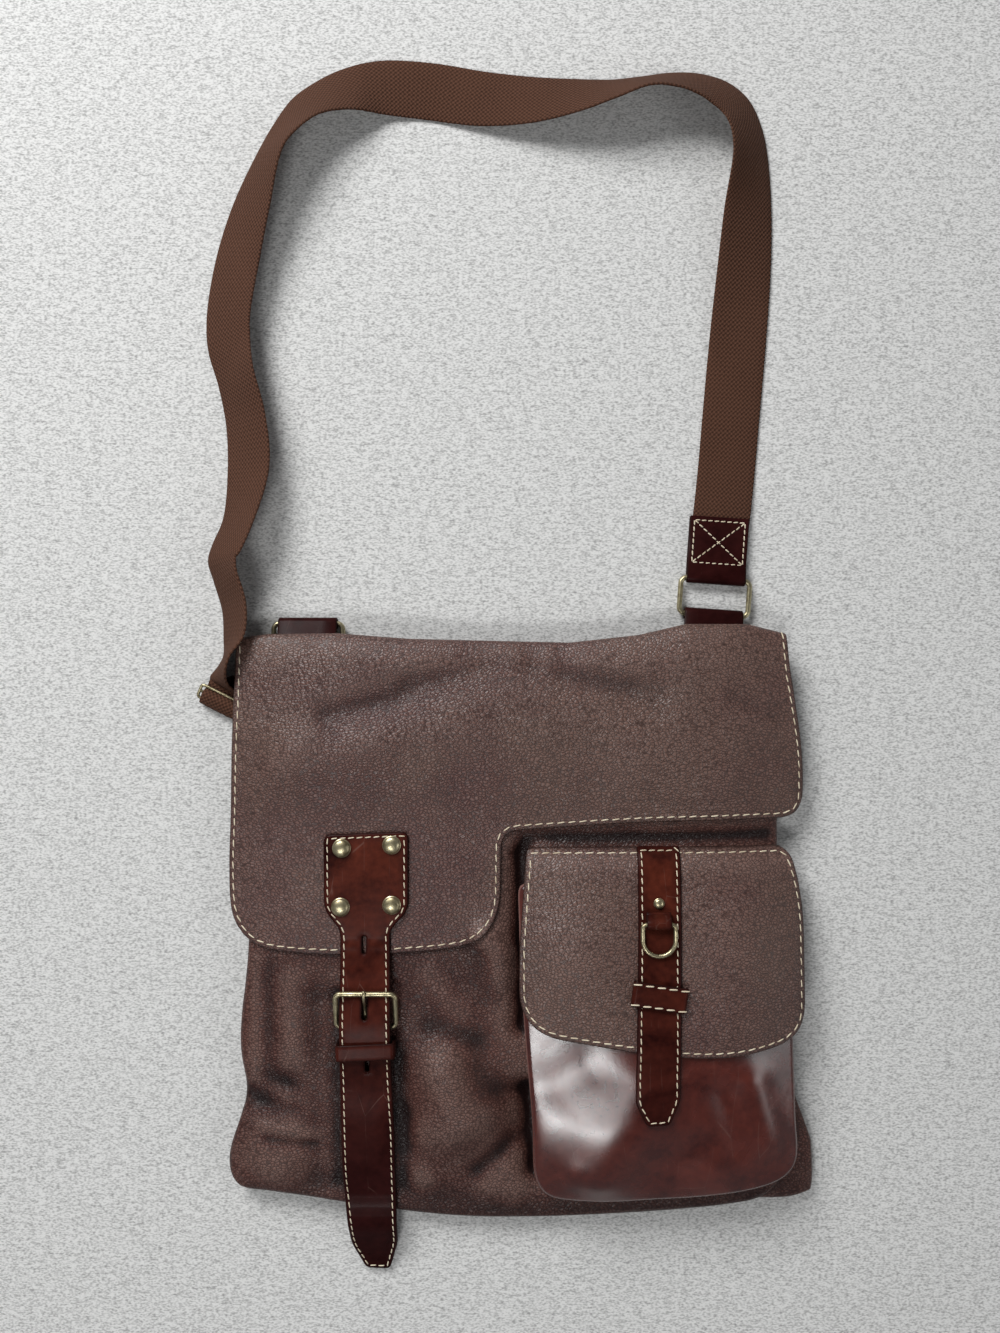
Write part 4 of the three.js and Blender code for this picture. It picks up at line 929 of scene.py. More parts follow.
FLAP_THREAD = Thread(7.0, 5.2, 0.42)
BELT_THREAD = Thread(5.4, 4.2, 0.4)
BOX_THREAD = Thread(3.9, 3.3, 0.42)
KEEPER_THREAD = Thread(6.4, 5.6, 0.5)
STITCH_SIDES = 8
STITCH_SINK = 0.9
STITCH_SLANT = 0.1
STITCH_LOOK = 1.0
ROW_STEP = 1.0
STITCH_END = [Bead(1.0, 0.35, 1.0), Bead(0.86, 0.8, 0.45), Bead(0.5, 1.0, 0.0)]
STITCH_RINGS = [Bead(-bead.reach, bead.swell, bead.sink) for bead in STITCH_END] + STITCH_END[::-1]


def stitch_row(points, normals, thread):
    """Rings of points of the stitches along a line that lies on leather."""
    lengths = lengths_along(points)
    count = max(1, int(lengths[-1] / thread.pitch))
    at = (np.arange(count) + 0.5) * lengths[-1] / count
    centre = values_along(at, lengths, points)
    ahead = values_along(at + STITCH_LOOK, lengths, points)
    behind = values_along(at - STITCH_LOOK, lengths, points)
    up = unit(values_along(at, lengths, normals))
    along = unit(ahead - behind)
    side = np.cross(up, along)
    along = along + STITCH_SLANT * side
    turns = circle(STITCH_SIDES)
    rings = []
    for middle, forward, left, lift in zip(centre, along, side, up):
        for bead in STITCH_RINGS:
            sunk = lift * bead.sink * STITCH_SINK * thread.radius
            core = middle + forward * bead.reach * thread.length / 2 - sunk
            rings.append(core + turns @ np.array([left, lift]) * bead.swell * thread.radius)
    return rings


def stitches(name, rows):
    """One dressed mesh of several rows, each given as (points, normals, thread)."""
    rings = [ring for row in rows for ring in stitch_row(*row)]
    faces = []
    for first in range(0, len(rings), len(STITCH_RINGS)):
        faces += rod_faces(len(STITCH_RINGS), STITCH_SIDES, first * STITCH_SIDES)
    return dress(mesh_object(name, np.vstack(rings), faces), THREAD)


def on_sheet(flat, place, wall, thread):
    """A row of stitches on top of a sheet, along a line on its flat cut."""
    normals = surface_normals(place, flat)
    return place(flat) + normals * wall, normals, thread


def straight_row(place, ends, thread):
    """A row of stitches between two points of a level place."""
    line = even_line(placed(place, ends), ROW_STEP)
    return line, np.tile([0.0, 0.0, 1.0], (len(line), 1)), thread


def edge_run(outline, margin, top):
    """Open line inside an outline's edge, without its part above the top."""
    line = inset(outline, margin)
    keep = line[:, 1] < top
    start = int(np.argmin(keep))
    return np.roll(line, -start, 0)[np.roll(keep, -start)]


# Materials: linear colours, texture scales in cycles per metre, fades and warp in metres, widths in mm

PURPLE_BROWN = (0.100, 0.043, 0.037, 1)
OLIVE_BROWN = (0.138, 0.076, 0.059, 1)
# Darker, redder pebbled colours for the body: painted shade of the body below the flap
SHADED_FRONT_PURPLE = (0.052, 0.015, 0.012, 1)
SHADED_FRONT_RED = (0.100, 0.037, 0.028, 1)
# Groove colour, also used for painted shade in hollows; rubbed colour, also used for a painted highlight on
# ridges
GROOVE_AND_SHADE_BROWN = (0.008, 0.003, 0.003, 1)
RUBBED_AND_HIGHLIGHT_BROWN = (0.190, 0.112, 0.092, 1)
BURGUNDY_DARK = (0.034, 0.0055, 0.0045, 1)
BURGUNDY = (0.115, 0.021, 0.013, 1)
BELT_DARK = (0.012, 0.0024, 0.0024, 1)
BELT_MIDDLE = (0.036, 0.0075, 0.0070, 1)
BELT_BROWN = (0.128, 0.027, 0.014, 1)
EDGE_DARK = (0.016, 0.0058, 0.0048, 1)
EDGE_PALE = (0.420, 0.240, 0.210, 1)
WEBBING_DARK = (0.038, 0.016, 0.009, 1)
WEBBING_LIGHT = (0.114, 0.051, 0.031, 1)
BRASS_LIGHT = (0.56, 0.50, 0.32, 1)
BRASS_DARK = (0.180, 0.145, 0.080, 1)
CREAM = (0.76, 0.67, 0.50, 1)
CREAM_DARK = (0.50, 0.40, 0.27, 1)
FLOOR_LIGHT = (0.72, 0.72, 0.708, 1)
FLOOR_DARK = (0.32, 0.32, 0.315, 1)
# Places of a colour mix's sockets
MIX_SHARE = 0
MIX_FIRST = 6
MIX_SECOND = 7
MIX_RESULT = 2
# Textures
PEBBLE_SCALE = 500.0
PEBBLE_WARP_SCALE = 170.0
PEBBLE_WARP = 0.0030
PORE_SCALE = 900.0
SCRATCH_SCALE = 55.0
NOISE_MIDDLE = (0.5, 0.5, 0.5)
PEBBLE_STRETCH = (0.82, 1.15, 1.0)
CREASE_STRETCH = (1.0, 0.45, 1.0)
WAX_STRETCH = (1.0, 0.5, 1.0)
SCRATCH_STRETCH = (1.0, 0.12, 1.0)
SPECKLE_STRETCH = (0.5, 1.0, 1.0)
STRAND_STRETCH = (0.4, 1.0, 1.0)
CLOTH_ROUGHNESS = 0.95
THREAD_ROUGHNESS = 0.75
GLOSS_RANGE = 0.10
EDGE_WIDTH = 1.6
# Painted shade towards the closure strap's hanging tip, from where it starts to where it is full, y in metres
BELT_TIP_SHADE_FROM = -0.100
BELT_TIP_SHADE_TO = -0.330
FITTING_FADE_FROM = -0.060
FITTING_FADE_TO = 0.020
BELT_RIM_WIDTH = 9.0
# Relief in mm at which the painted shade in hollows and the painted highlight on ridges are full
SHADED_VALLEY_DEPTH = 1.6
HIGHLIGHT_RIDGE_HEIGHT = 1.4


class Tint(NamedTuple):
    """Colour laid over a material, its share going from start to end between the pattern's low and high."""

    pattern: bpy.types.NodeSocket
    low: float
    high: float
    colour: tuple
    start: float = 0.0
    end: float = 1.0


class Bump(NamedTuple):
    """Pattern that raises a material's surface by a distance in metres."""

    pattern: bpy.types.NodeSocket
    distance: float
    strength: float


class Shader:
    """A material's node tree, with short ways to add to it."""

    def __init__(self, name):
        self.material = bpy.data.materials.new(name)
        self.material.use_nodes = True
        self.tree = self.material.node_tree
        self.place = self.add("ShaderNodeTexCoord").outputs["Object"]

    def add(self, kind, inputs=None, **settings):
        made = self.tree.nodes.new(kind)
        for key, value in settings.items():
            setattr(made, key, value)
        for key, value in (inputs or {}).items():
            self.put(made.inputs[key], value)
        return made

    def put(self, socket, value):
        if isinstance(value, bpy.types.NodeSocket):
            self.tree.links.new(value, socket)
        else:
            socket.default_value = value

    def noise(self, scale, detail, vector=None, distortion=0.0):
        inputs = {"Vector": vector or self.place, "Scale": scale, "Detail": detail, "Distortion": distortion}
        return self.add("ShaderNodeTexNoise", inputs).outputs["Fac"]

    def cells(self, scale, vector):
        """Distance from the lines between scattered cells."""
        inputs = {"Vector": vector, "Scale": scale}
        return self.add("ShaderNodeTexVoronoi", inputs, feature="DISTANCE_TO_EDGE").outputs["Distance"]

    def vector_math(self, operation, inputs):
        return self.add("ShaderNodeVectorMath", inputs, operation=operation).outputs[0]

    def warped(self, scale, amount):
        """Object place shifted about by noise, in metres."""
        inputs = {"Vector": self.place, "Scale": scale}
        colour = self.add("ShaderNodeTexNoise", inputs).outputs["Color"]
        shift = self.vector_math("SUBTRACT", {0: colour, 1: NOISE_MIDDLE})
        shift = self.vector_math("SCALE", {0: shift, "Scale": amount})
        return self.vector_math("ADD", {0: self.place, 1: shift})

    def stretched(self, scale, vector=None):
        """A place, the object's own by default, with each axis scaled."""
        return self.add("ShaderNodeMapping", {"Vector": vector or self.place, "Scale": scale}).outputs[0]

    def parts(self, vector):
        return self.add("ShaderNodeSeparateXYZ", {0: vector}).outputs

    def math(self, operation, first, second=0.0):
        return self.add("ShaderNodeMath", {0: first, 1: second}, operation=operation).outputs[0]

    def blend(self, first, second, share):
        """Sum of two patterns, with the first one's share and the rest for the second."""
        return self.math("ADD", self.math("MULTIPLY", first, share), self.math("MULTIPLY", second, 1 - share))

    def spread(self, value, low, high, start=0.0, end=1.0):
        inputs = {"Value": value, "From Min": low, "From Max": high, "To Min": start, "To Max": end}
        return self.add("ShaderNodeMapRange", inputs).outputs[0]

    def stored(self, name):
        """A value that the mesh holds for each point."""
        return self.add("ShaderNodeAttribute", attribute_name=name).outputs["Fac"]

    def tinted(self, colour, *tints):
        for tint in tints:
            share = self.spread(tint.pattern, tint.low, tint.high, tint.start, tint.end)
            inputs = {MIX_SHARE: share, MIX_FIRST: colour, MIX_SECOND: tint.colour}
            colour = self.add("ShaderNodeMix", inputs, data_type="RGBA").outputs[MIX_RESULT]
        return colour

    def finish(self, colour, roughness, bumps, **sockets):
        made = None
        for bump in bumps:
            inputs = {"Height": bump.pattern, "Distance": bump.distance, "Strength": bump.strength}
            if made:
                inputs["Normal"] = made.outputs[0]
            made = self.add("ShaderNodeBump", inputs)
        surface = self.tree.nodes["Principled BSDF"]
        sockets = {"Base Color": colour, "Roughness": roughness, "Normal": made.outputs[0], **sockets}
        for key, value in sockets.items():
            self.put(surface.inputs[key.replace("_", " ")], value)
        return self.material


def pebbled_leather(name, dark, light, valley_shade, shine):
    """Pebbled leather between two colours, with painted shade darkening its hollows and a painted highlight
    lightening its ridges. The argument after the two colours is how strongly the painted shade darkens its
    hollows.
    """
    shader = Shader(name)
    place = shader.stretched(PEBBLE_STRETCH, shader.warped(PEBBLE_WARP_SCALE, PEBBLE_WARP))
    pebble = shader.cells(PEBBLE_SCALE, place)
    grain = shader.noise(scale=1700.0, detail=3.0)
    broad = shader.noise(scale=13.0, detail=3.0)
    patch = shader.noise(scale=46.0, detail=4.0)
    crease = shader.noise(scale=120.0, detail=4.0, vector=shader.stretched(CREASE_STRETCH), distortion=0.6)
    height = shader.stored("relief")
    colour = shader.tinted(
        dark,
        Tint(broad, 0.38, 0.62, light),
        Tint(patch, 0.45, 0.75, RUBBED_AND_HIGHLIGHT_BROWN, end=0.30),
        # Painted highlight on ridges, from the stored relief
        Tint(height, 0.0, HIGHLIGHT_RIDGE_HEIGHT, RUBBED_AND_HIGHLIGHT_BROWN, end=0.65),
        Tint(pebble, 0.12, 0.40, RUBBED_AND_HIGHLIGHT_BROWN, end=0.4),
        Tint(pebble, 0.0, 0.18, GROOVE_AND_SHADE_BROWN, start=0.75, end=0.0),
        # Painted shade in hollows, from the stored relief
        Tint(height, 0.0, -SHADED_VALLEY_DEPTH, GROOVE_AND_SHADE_BROWN, end=valley_shade),
        Tint(shader.stored("edge"), 0.0, EDGE_WIDTH, EDGE_DARK, start=0.8, end=0.0),
    )
    crown = shader.spread(pebble, low=0.0, high=0.35)
    bumps = [Bump(crown, 0.00032, 0.75), Bump(grain, 0.00003, 0.15), Bump(crease, 0.0010, 0.4)]
    rough = shader.spread(patch, low=0.3, high=0.7, start=0.46, end=0.37)
    return shader.finish(colour, rough, bumps, Specular_IOR_Level=shine)


def smooth_leather(name, tone, gloss, edge_colour, shine):
    """Waxed leather. tone makes its colour from the shader and a cloudy pattern."""
    shader = Shader(name)
    cloud = shader.noise(scale=30.0, detail=5.0, distortion=0.8)
    mottle = shader.noise(scale=240.0, detail=4.0)
    crease = shader.noise(scale=70.0, detail=3.0, vector=shader.stretched(WAX_STRETCH), distortion=0.3)
    pores = shader.cells(PORE_SCALE, shader.place)
    scratch = shader.cells(SCRATCH_SCALE, shader.stretched(SCRATCH_STRETCH))
    worn = shader.spread(cloud, low=0.5, high=0.6)
    scratched = shader.math("MULTIPLY", shader.spread(scratch, low=0.0, high=0.006, start=1.0, end=0.0), worn)
    mottled = shader.math("ADD", cloud, shader.spread(mottle, low=0.3, high=0.7, start=-0.09, end=0.09))
    colour = shader.tinted(
        tone(shader, mottled),
        Tint(scratched, 0.0, 1.0, RUBBED_AND_HIGHLIGHT_BROWN, end=0.4),
        Tint(shader.stored("edge"), 0.0, EDGE_WIDTH, edge_colour, start=0.85, end=0.0),
    )
    bumps = [Bump(crease, 0.0005, 0.3), Bump(shader.spread(pores, low=0.0, high=0.3), 0.00003, 0.3)]
    rough = shader.spread(cloud, low=0.3, high=0.7, start=gloss, end=gloss + GLOSS_RANGE)
    return shader.finish(colour, rough, bumps, Specular_IOR_Level=shine)


def pocket_tone(shader, cloud):
    return shader.tinted(BURGUNDY_DARK, Tint(cloud, 0.25, 0.85, BURGUNDY))


def belt_tone(shader, cloud):
    """Brown at the patch, with painted shade darkening it towards the strap's hanging tip; darker too at the
    shoulder strap's fittings and every rim.
    """
    along = shader.parts(shader.place)["Y"]
    # Painted shade towards the strap's hanging tip
    tip_shade = shader.spread(along, BELT_TIP_SHADE_FROM, BELT_TIP_SHADE_TO)
    above = shader.spread(along, FITTING_FADE_FROM, FITTING_FADE_TO)
    rim = shader.spread(shader.stored("edge"), low=0.0, high=BELT_RIM_WIDTH, start=0.8, end=0.0)
    faded = shader.math("MAXIMUM", shader.math("MAXIMUM", tip_shade, above), rim)
    light = shader.tinted(BELT_BROWN, Tint(faded, 0.0, 1.0, BELT_MIDDLE))
    return shader.tinted(BELT_DARK, Tint(cloud, 0.20, 0.80, light))


def webbing():
    shader = Shader("webbing_finish")
    flat = shader.parts(shader.add("ShaderNodeUVMap", uv_map="flat").outputs[0])
    warp = shader.math("SINE", shader.math("MULTIPLY", flat["X"], 2 * pi / (WARP_PITCH * MM)))
    weft = shader.math("SINE", shader.math("MULTIPLY", flat["Y"], 2 * pi / (WEFT_PITCH * MM)))
    weave = shader.spread(shader.math("MULTIPLY", warp, weft), low=-1.0, high=1.0)
    rib = shader.spread(weft, low=-1.0, high=1.0)
    fuzz = shader.noise(scale=900.0, detail=4.0)
    wear = shader.noise(scale=24.0, detail=4.0)
    colour = shader.tinted(
        WEBBING_DARK,
        Tint(shader.blend(weave, fuzz, share=0.65), 0.22, 0.80, WEBBING_LIGHT),
        Tint(wear, 0.45, 0.8, WEBBING_LIGHT, end=0.25),
    )
    bumps = [Bump(weave, 0.0006, 0.9), Bump(rib, 0.00025, 0.5), Bump(fuzz, 0.0002, 0.5)]
    return shader.finish(colour, CLOTH_ROUGHNESS, bumps, Specular_IOR_Level=0.2)


def antique_brass():
    shader = Shader("antique_brass_finish")
    patina = shader.noise(scale=210.0, detail=5.0)
    speck = shader.noise(scale=1900.0, detail=3.0)
    colour = shader.tinted(BRASS_DARK, Tint(patina, 0.28, 0.56, BRASS_LIGHT))
    rough = shader.spread(patina, low=0.35, high=0.7, start=0.46, end=0.28)
    return shader.finish(colour, rough, [Bump(speck, 0.00008, 0.35)], Metallic=1.0)


def thread():
    shader = Shader("thread_finish")
    soil = shader.noise(scale=70.0, detail=3.0)
    twist = shader.noise(scale=2600.0, detail=2.0)
    colour = shader.tinted(CREAM, Tint(soil, 0.4, 0.75, CREAM_DARK))
    return shader.finish(colour, THREAD_ROUGHNESS, [Bump(twist, 0.0002, 0.6)])


def floor_cloth():
    shader = Shader("floor_cloth")
    speckle = shader.noise(scale=1000.0, detail=3.0, vector=shader.stretched(SPECKLE_STRETCH))
    strands = shader.noise(scale=400.0, detail=3.0, vector=shader.stretched(STRAND_STRETCH))
    tone = shader.blend(speckle, strands, share=0.7)
    colour = shader.tinted(FLOOR_DARK, Tint(tone, 0.34, 0.56, FLOOR_LIGHT))
    return shader.finish(colour, CLOTH_ROUGHNESS, [Bump(speckle, 0.0006, 0.3)])


PEBBLED = pebbled_leather("pebbled_leather_finish", PURPLE_BROWN, OLIVE_BROWN, valley_shade=0.4, shine=0.45)
# Copy of the pebbled leather for the body panels, darker as painted shade, with stronger painted shade in its
# hollows
PEBBLED_SHADED_BODY = pebbled_leather(
    "pebbled_leather_finish_shaded_body", SHADED_FRONT_PURPLE, SHADED_FRONT_RED, valley_shade=0.95, shine=0.28
)
SMOOTH = smooth_leather("smooth_leather_finish", pocket_tone, gloss=0.20, edge_colour=EDGE_PALE, shine=0.8)
BELT = smooth_leather("strap_leather_finish", belt_tone, gloss=0.26, edge_colour=EDGE_DARK, shine=0.05)
WEBBING = webbing()
BRASS = antique_brass()
THREAD = thread()


# Dressing the pieces


def dress(piece, material, *nodes, body="bag"):
    """Gives a piece its material, puts it under its body and hides the CAD nodes that it stands for."""
    piece.data.materials.append(material)
    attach(piece, body)
    if nodes:
        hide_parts(*nodes)
    return piece


def leather(node, outline, place, material, wall=WALL, **make):
    """Dressed sheet that stands for a CAD node."""
    return dress(sheet(f"{node}_leather", outline, place, wall, **make), material, node)


def strip(node, profile, place, width, wall):
    """Dressed strip of strap leather that stands for a CAD node."""
    return dress(folded_strip(f"{node}_leather", profile, place, width, wall), BELT, node)


def declare_flap(outline, place):
    """Works out what size a flap was cut to before it was folded over, its length measured along the leather;
    nothing is kept.
    """
    width, length = np.ptp(outline, axis=0)
    foot = outline.min(axis=0) + [width / 2, 0]
    cut_length = lengths_along(place(even_line(np.array([foot, foot + [0, length]]))))[-1]


def cad_corners(node):
    """Lowest and highest corner of a CAD node, in plan millimetres."""
    return [np.array(corner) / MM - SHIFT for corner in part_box(node)]


def joined(name, pieces):
    """One object from several meshes."""
    vertices = []
    faces = []
    for piece in pieces:
        start = len(vertices)
        vertices += [vertex.co / MM for vertex in piece.data.vertices]
        faces += [[start + corner for corner in face.vertices] for face in piece.data.polygons]
        bpy.data.meshes.remove(piece.data)
    return mesh_object(name, np.array(vertices) - SHIFT, faces)


# Body


def plan_points(seam):
    return np.array([(row.x, row.y) for row in seam])


def back_seam(points):
    return BODY_MIDDLE + (points - BODY_MIDDLE) * BACK_INSET


def back_top(x, y):
    return back_under(x, y + GUSSET_LEAD) + WALL


def gusset_strip(node, seam, over, under, lower_place, depth, material):
    """Strip from a seam under one layer to a seam on another, with its middle pushed in plan."""
    clearance = SEAM_GAP + GUSSET_WALL / 2
    plan = spline(plan_points(seam))
    rows = np.arange(len(seam))
    at = np.linspace(0, rows[-1], len(plan))
    push = values_along(at, rows, np.array([(row.bulge_x, row.bulge_y, 0) for row in seam]))
    lower = lower_place(plan)
    top = np.column_stack([plan, over(*plan.T) - clearance])
    bottom = np.column_stack([lower, under(*lower.T) + clearance])
    shares, half = ribbon_shares(depth, GUSSET_WALL, GUSSET_COLUMNS)
    steps = shares[None, :, None]
    lattice = top[:, None] * (1 - steps) + bottom[:, None] * steps + push[:, None] * np.sin(pi * steps)
    return dress(shell(f"{node}_leather", lattice, half, shares, depth), material, node)


body_plan = plan_points(BODY_SEAM)
back_outline = seam_outline(back_seam(body_plan), BACK_TOP)
leather("back_panel", back_outline, lying(back_under), PEBBLED_SHADED_BODY, spacing=COARSE_SPACING)
front_outline = seam_outline(body_plan, FRONT_TOP)
leather("front_panel", front_outline, lying(front_hollowed), PEBBLED_SHADED_BODY, roll=FRONT_ROLL)
gusset_strip("gusset", BODY_SEAM, front_under, back_top, back_seam, EDGE_HEIGHT, PEBBLED_SHADED_BODY)

flap_outline = rounded_outline(FLAP_OUTLINE)
main_flap = leather("main_flap", flap_outline, flap_place, PEBBLED, spacing=FINE_SPACING)
declare_flap(flap_outline, flap_place)

belt_outline = rounded_outline(BELT_OUTLINE)
flap_run = edge_run(flap_outline, FLAP_STITCH_INSET, FLAP_STITCH_TOP)
under_belt = np.flatnonzero(inside_loops(flap_run, [belt_outline]))
flap_runs = [flap_run[: under_belt[0]], flap_run[under_belt[-1] + 1 :]]
stitches("main_flap_stitches", [on_sheet(run, flap_place, WALL, FLAP_THREAD) for run in flap_runs])

# Closure


def rivet(node):
    """Domed head with a thin rim, where the CAD head is."""
    low, high = cad_corners(node)
    radius = (high[0] - low[0]) / 2
    height = high[2] - low[2]
    rim = height * RIVET_RIM_SHARE
    profile = [*arc((0, rim), (radius * RIVET_DOME_SHARE, height - rim), pi / 2, 0)]
    profile += [(radius * out, rim * up) for out, up in RIVET_RIM]
    profile.append((radius, -GAP))
    centre = np.append((low + high)[:2] / 2, low[2])
    return dress(lathe(f"{node}_brass", profile, centre), BRASS, node)


def barred_frame(node, near, far, width, wire, near_corner, far_corner, body="bag"):
    """Brass frame between two bars that run straight across at the given points."""
    rise = np.arctan2(far[2] - near[2], far[1] - near[1])
    place = Matrix.Translation((near + far) / 2) @ Matrix.Rotation(rise, 4, "X")
    length = np.linalg.norm(far - near)
    made = wire_frame(f"{node}_brass", place, width, length, wire, near_corner, far_corner)
    return dress(made, BRASS, node, body=body)


def keeper_loop(node, keeper):
    """Leather arch over a strap, standing where the CAD arch stands. Gives the place of its top."""
    low, high = cad_corners(node)
    reach = (keeper.width - KEEPER_WALL) / 2
    top = high[2] - low[2] - KEEPER_WALL / 2
    bend = min(KEEPER_BEND, top)
    left = np.vstack([(-reach, -GAP), arc((bend - reach, top - bend), bend, pi, pi / 2)])
    turned = Matrix.Rotation(radians(keeper.turn), 4, "Z")
    swapped = Matrix(((0, 1, 0, 0), (1, 0, 0, 0), (0, 0, 1, 0), (0, 0, 0, 1)))
    place = Matrix.Translation((keeper.x, keeper.y, low[2])) @ turned @ swapped
    strip(node, np.vstack([left, left[::-1] * [-1, 1]]), place, keeper.length, KEEPER_WALL)
    return Matrix.Translation((keeper.x, keeper.y, high[2])) @ turned


def bar_loop(node, x, width, wall, wire, run_end, bar_y, return_end):
    """Leather strip that lies flat, folds round a bar and ends on itself."""
    radius = wire + GAP + wall / 2
    base = cad_corners(node)[0][2] + wall / 2
    turn = 1 if bar_y > run_end else -1
    bend = arc((bar_y, base + radius), (turn * radius, radius), -pi / 2, pi / 2 + radians(BAR_LOOP_SLANT))
    profile = [(run_end, base), ((run_end + bar_y) / 2, base), *bend, (return_end, base + wall)]
    return strip(node, profile, Matrix.Translation((x, 0, 0)), width, wall)


belt_holes = [slot_loop(slot, SLOT_LENGTH, SLOT_WIDTH) for slot in SLOTS]
belt_holes.append(slot_loop(PRONG_SLOT, PRONG_SLOT_LENGTH, PRONG_SLOT_WIDTH))
belt_place = lying(belt_under)
leather("closure_strap", belt_outline, belt_place, BELT, BELT_WALL, spacing=FINE_SPACING, holes=belt_holes)
belt_line = inset(belt_outline, BELT_STITCH_INSET)
belt_row = on_sheet(np.vstack([belt_line, belt_line[:1]]), belt_place, BELT_WALL, BELT_THREAD)
stitches("closure_strap_stitches", [belt_row])

for number in range(1, STRAP_RIVET_COUNT + 1):
    rivet(f"strap_rivet_{number}")

frame_low, frame_high = cad_corners("buckle_frame")
pivot = np.array([BUCKLE_X, frame_low[1] + BUCKLE_WIRE, frame_low[2] + BUCKLE_WIRE])
top_bar = np.array([BUCKLE_X, frame_high[1] - BUCKLE_WIRE, frame_high[2] - BUCKLE_WIRE])
barred_frame("buckle_frame", pivot, top_bar, BUCKLE_WIDTH, BUCKLE_WIRE, BUCKLE_CORNER, BUCKLE_CORNER)

hook = BUCKLE_WIRE + GAP + PRONG_RADIUS
prong_line = [*arc(pivot[1:], hook, radians(PRONG_HOOK_START), radians(PRONG_HOOK_END))]
prong_line += [(pivot[1] + past, pivot[2] + over) for past, over in PRONG_RISE]
prong_line += [(top_bar[1] + past, top_bar[2] + hook - drop) for past, drop in PRONG_REST]
prong_path = spline([(PRONG_SLOT[0], *point) for point in prong_line], PRONG_STEPS)
dress(tube("buckle_prong_brass", prong_path, PRONG_RADIUS, np.array([1, 0, 0])), BRASS, "buckle_prong")

chape_end = cad_corners("buckle_chape")[0][1]
bar_loop("buckle_chape", BUCKLE_X, CHAPE_WIDTH, WALL, BUCKLE_WIRE, chape_end, pivot[1], CHAPE_LOOP_END)
keeper_loop("buckle_keeper", BUCKLE_KEEPER)

# Pocket

pocket_outline = seam_outline(plan_points(POCKET_SEAM), POCKET_MOUTH)
leather("pocket_front", pocket_outline, lying(pocket_under), SMOOTH, roll=POCKET_ROLL)
pocket_edge = POCKET_EDGE_SHARE * POCKET_DEPTH[0].value
gusset_strip("pocket_gusset", POCKET_SEAM, pocket_under, front_top, np.asarray, pocket_edge, SMOOTH)

pocket_flap_outline = rounded_outline(POCKET_FLAP_OUTLINE)
pocket_flap_place = lying(pocket_flap_under)
pocket_flap = leather("pocket_flap", pocket_flap_outline, pocket_flap_place, PEBBLED, spacing=FINE_SPACING)
declare_flap(pocket_flap_outline, pocket_flap_place)
pocket_flap_run = edge_run(pocket_flap_outline, FLAP_STITCH_INSET, POCKET_STITCH_TOP)
pocket_rows = [on_sheet(pocket_flap_run, pocket_flap_place, WALL, FLAP_THREAD)]

tongue_outline = rounded_outline(POCKET_STRAP_OUTLINE)
tongue_place = lying(pocket_strap_under)
leather("pocket_strap", tongue_outline, tongue_place, BELT, POCKET_STRAP_WALL, spacing=FINE_SPACING)
tongue_run = edge_run(tongue_outline, BELT_STITCH_INSET, POCKET_STRAP_STITCH_TOP)
pocket_rows.append(on_sheet(tongue_run, tongue_place, POCKET_STRAP_WALL, BELT_THREAD))

keeper_top = keeper_loop("pocket_keeper", POCKET_KEEPER)
keeper_reach = POCKET_KEEPER.width / 2 + KEEPER_STITCH_OVERRUN
for side in (-1, 1):
    row_y = side * (POCKET_KEEPER.length / 2 - KEEPER_STITCH_INSET)
    row_ends = [(-keeper_reach, row_y, 0), (keeper_reach, row_y, 0)]
    pocket_rows.append(straight_row(keeper_top, row_ends, KEEPER_THREAD))
stitches("pocket_stitches", pocket_rows)

rivet("pocket_strap_rivet")
ring_joint = next(joint for joint in frame["joints"] if joint["name"] == "d_ring_swing")
ring_bar = np.array(ring_joint["pos_m"]) / MM - SHIFT
ring_low = cad_corners("d_ring")[0]
ring_far = np.array([ring_bar[0], ring_low[1] + RING_WIRE, ring_low[2] + RING_WIRE])
ring_bend = RING_WIDTH / 2 - RING_FAR_FLAT
barred_frame("d_ring", ring_far, ring_bar, RING_WIDTH, RING_WIRE, ring_bend, RING_BAR_CORNER, body="ring")
loop_end = cad_corners("d_ring_loop")[1][1]
bar_loop(
    "d_ring_loop", RING_X, RING_LOOP_WIDTH, LOOP_WALL, RING_WIRE, loop_end, ring_bar[1], RING_LOOP_RETURN
)

# Shoulder strap


def strap_ring(node, place):
    sizes = (STRAP_RING_WIDTH, STRAP_RING_LENGTH, STRAP_WIRE, STRAP_RING_CORNER, STRAP_RING_CORNER)
    return dress(wire_frame(f"{node}_brass", place, *sizes), BRASS, node)


def anchor_tab(node, place, bar_y, seam_y, edge_y):
    """Leather tab from the seam at the back panel's top, down and round a ring's bar."""
    radius = STRAP_WIRE + TAB_CLEARANCE + TAB_WALL / 2
    base = BACK_RAISE + WALL + GAP + TAB_WALL / 2
    bend = arc((bar_y, STRAP_RING_Z), radius, radians(TAB_ARC_START), radians(TAB_ARC_END))
    profile = [(seam_y, base), (edge_y, base), (edge_y + TAB_BEND, base - TAB_BEND / 2), *bend]
    return strip(node, profile, place, TAB_WIDTH, TAB_WALL)


def end_tab(node, place, bar_y):
    """Leather folded round the ring's bar, over and under the webbing's end. Gives the height of its top."""
    radius = STRAP_WIRE + TAB_CLEARANCE + END_TAB_WALL / 2
    upper = END_TAB_WALL + 3 * GAP + WEBBING_WALL + END_TAB_WALL / 2 + GAP
    lower = GAP + END_TAB_WALL / 2
    bend = arc((bar_y, STRAP_RING_Z), radius, -pi / 2, -3 * pi / 2)
    starts = [bar_y + END_TAB_LENGTH, bar_y + END_TAB_BEND]
    profile = [(along, lower) for along in starts] + [*bend] + [(along, upper) for along in reversed(starts)]
    strip(node, profile, place, TAB_WIDTH, END_TAB_WALL)
    return upper + END_TAB_WALL / 2


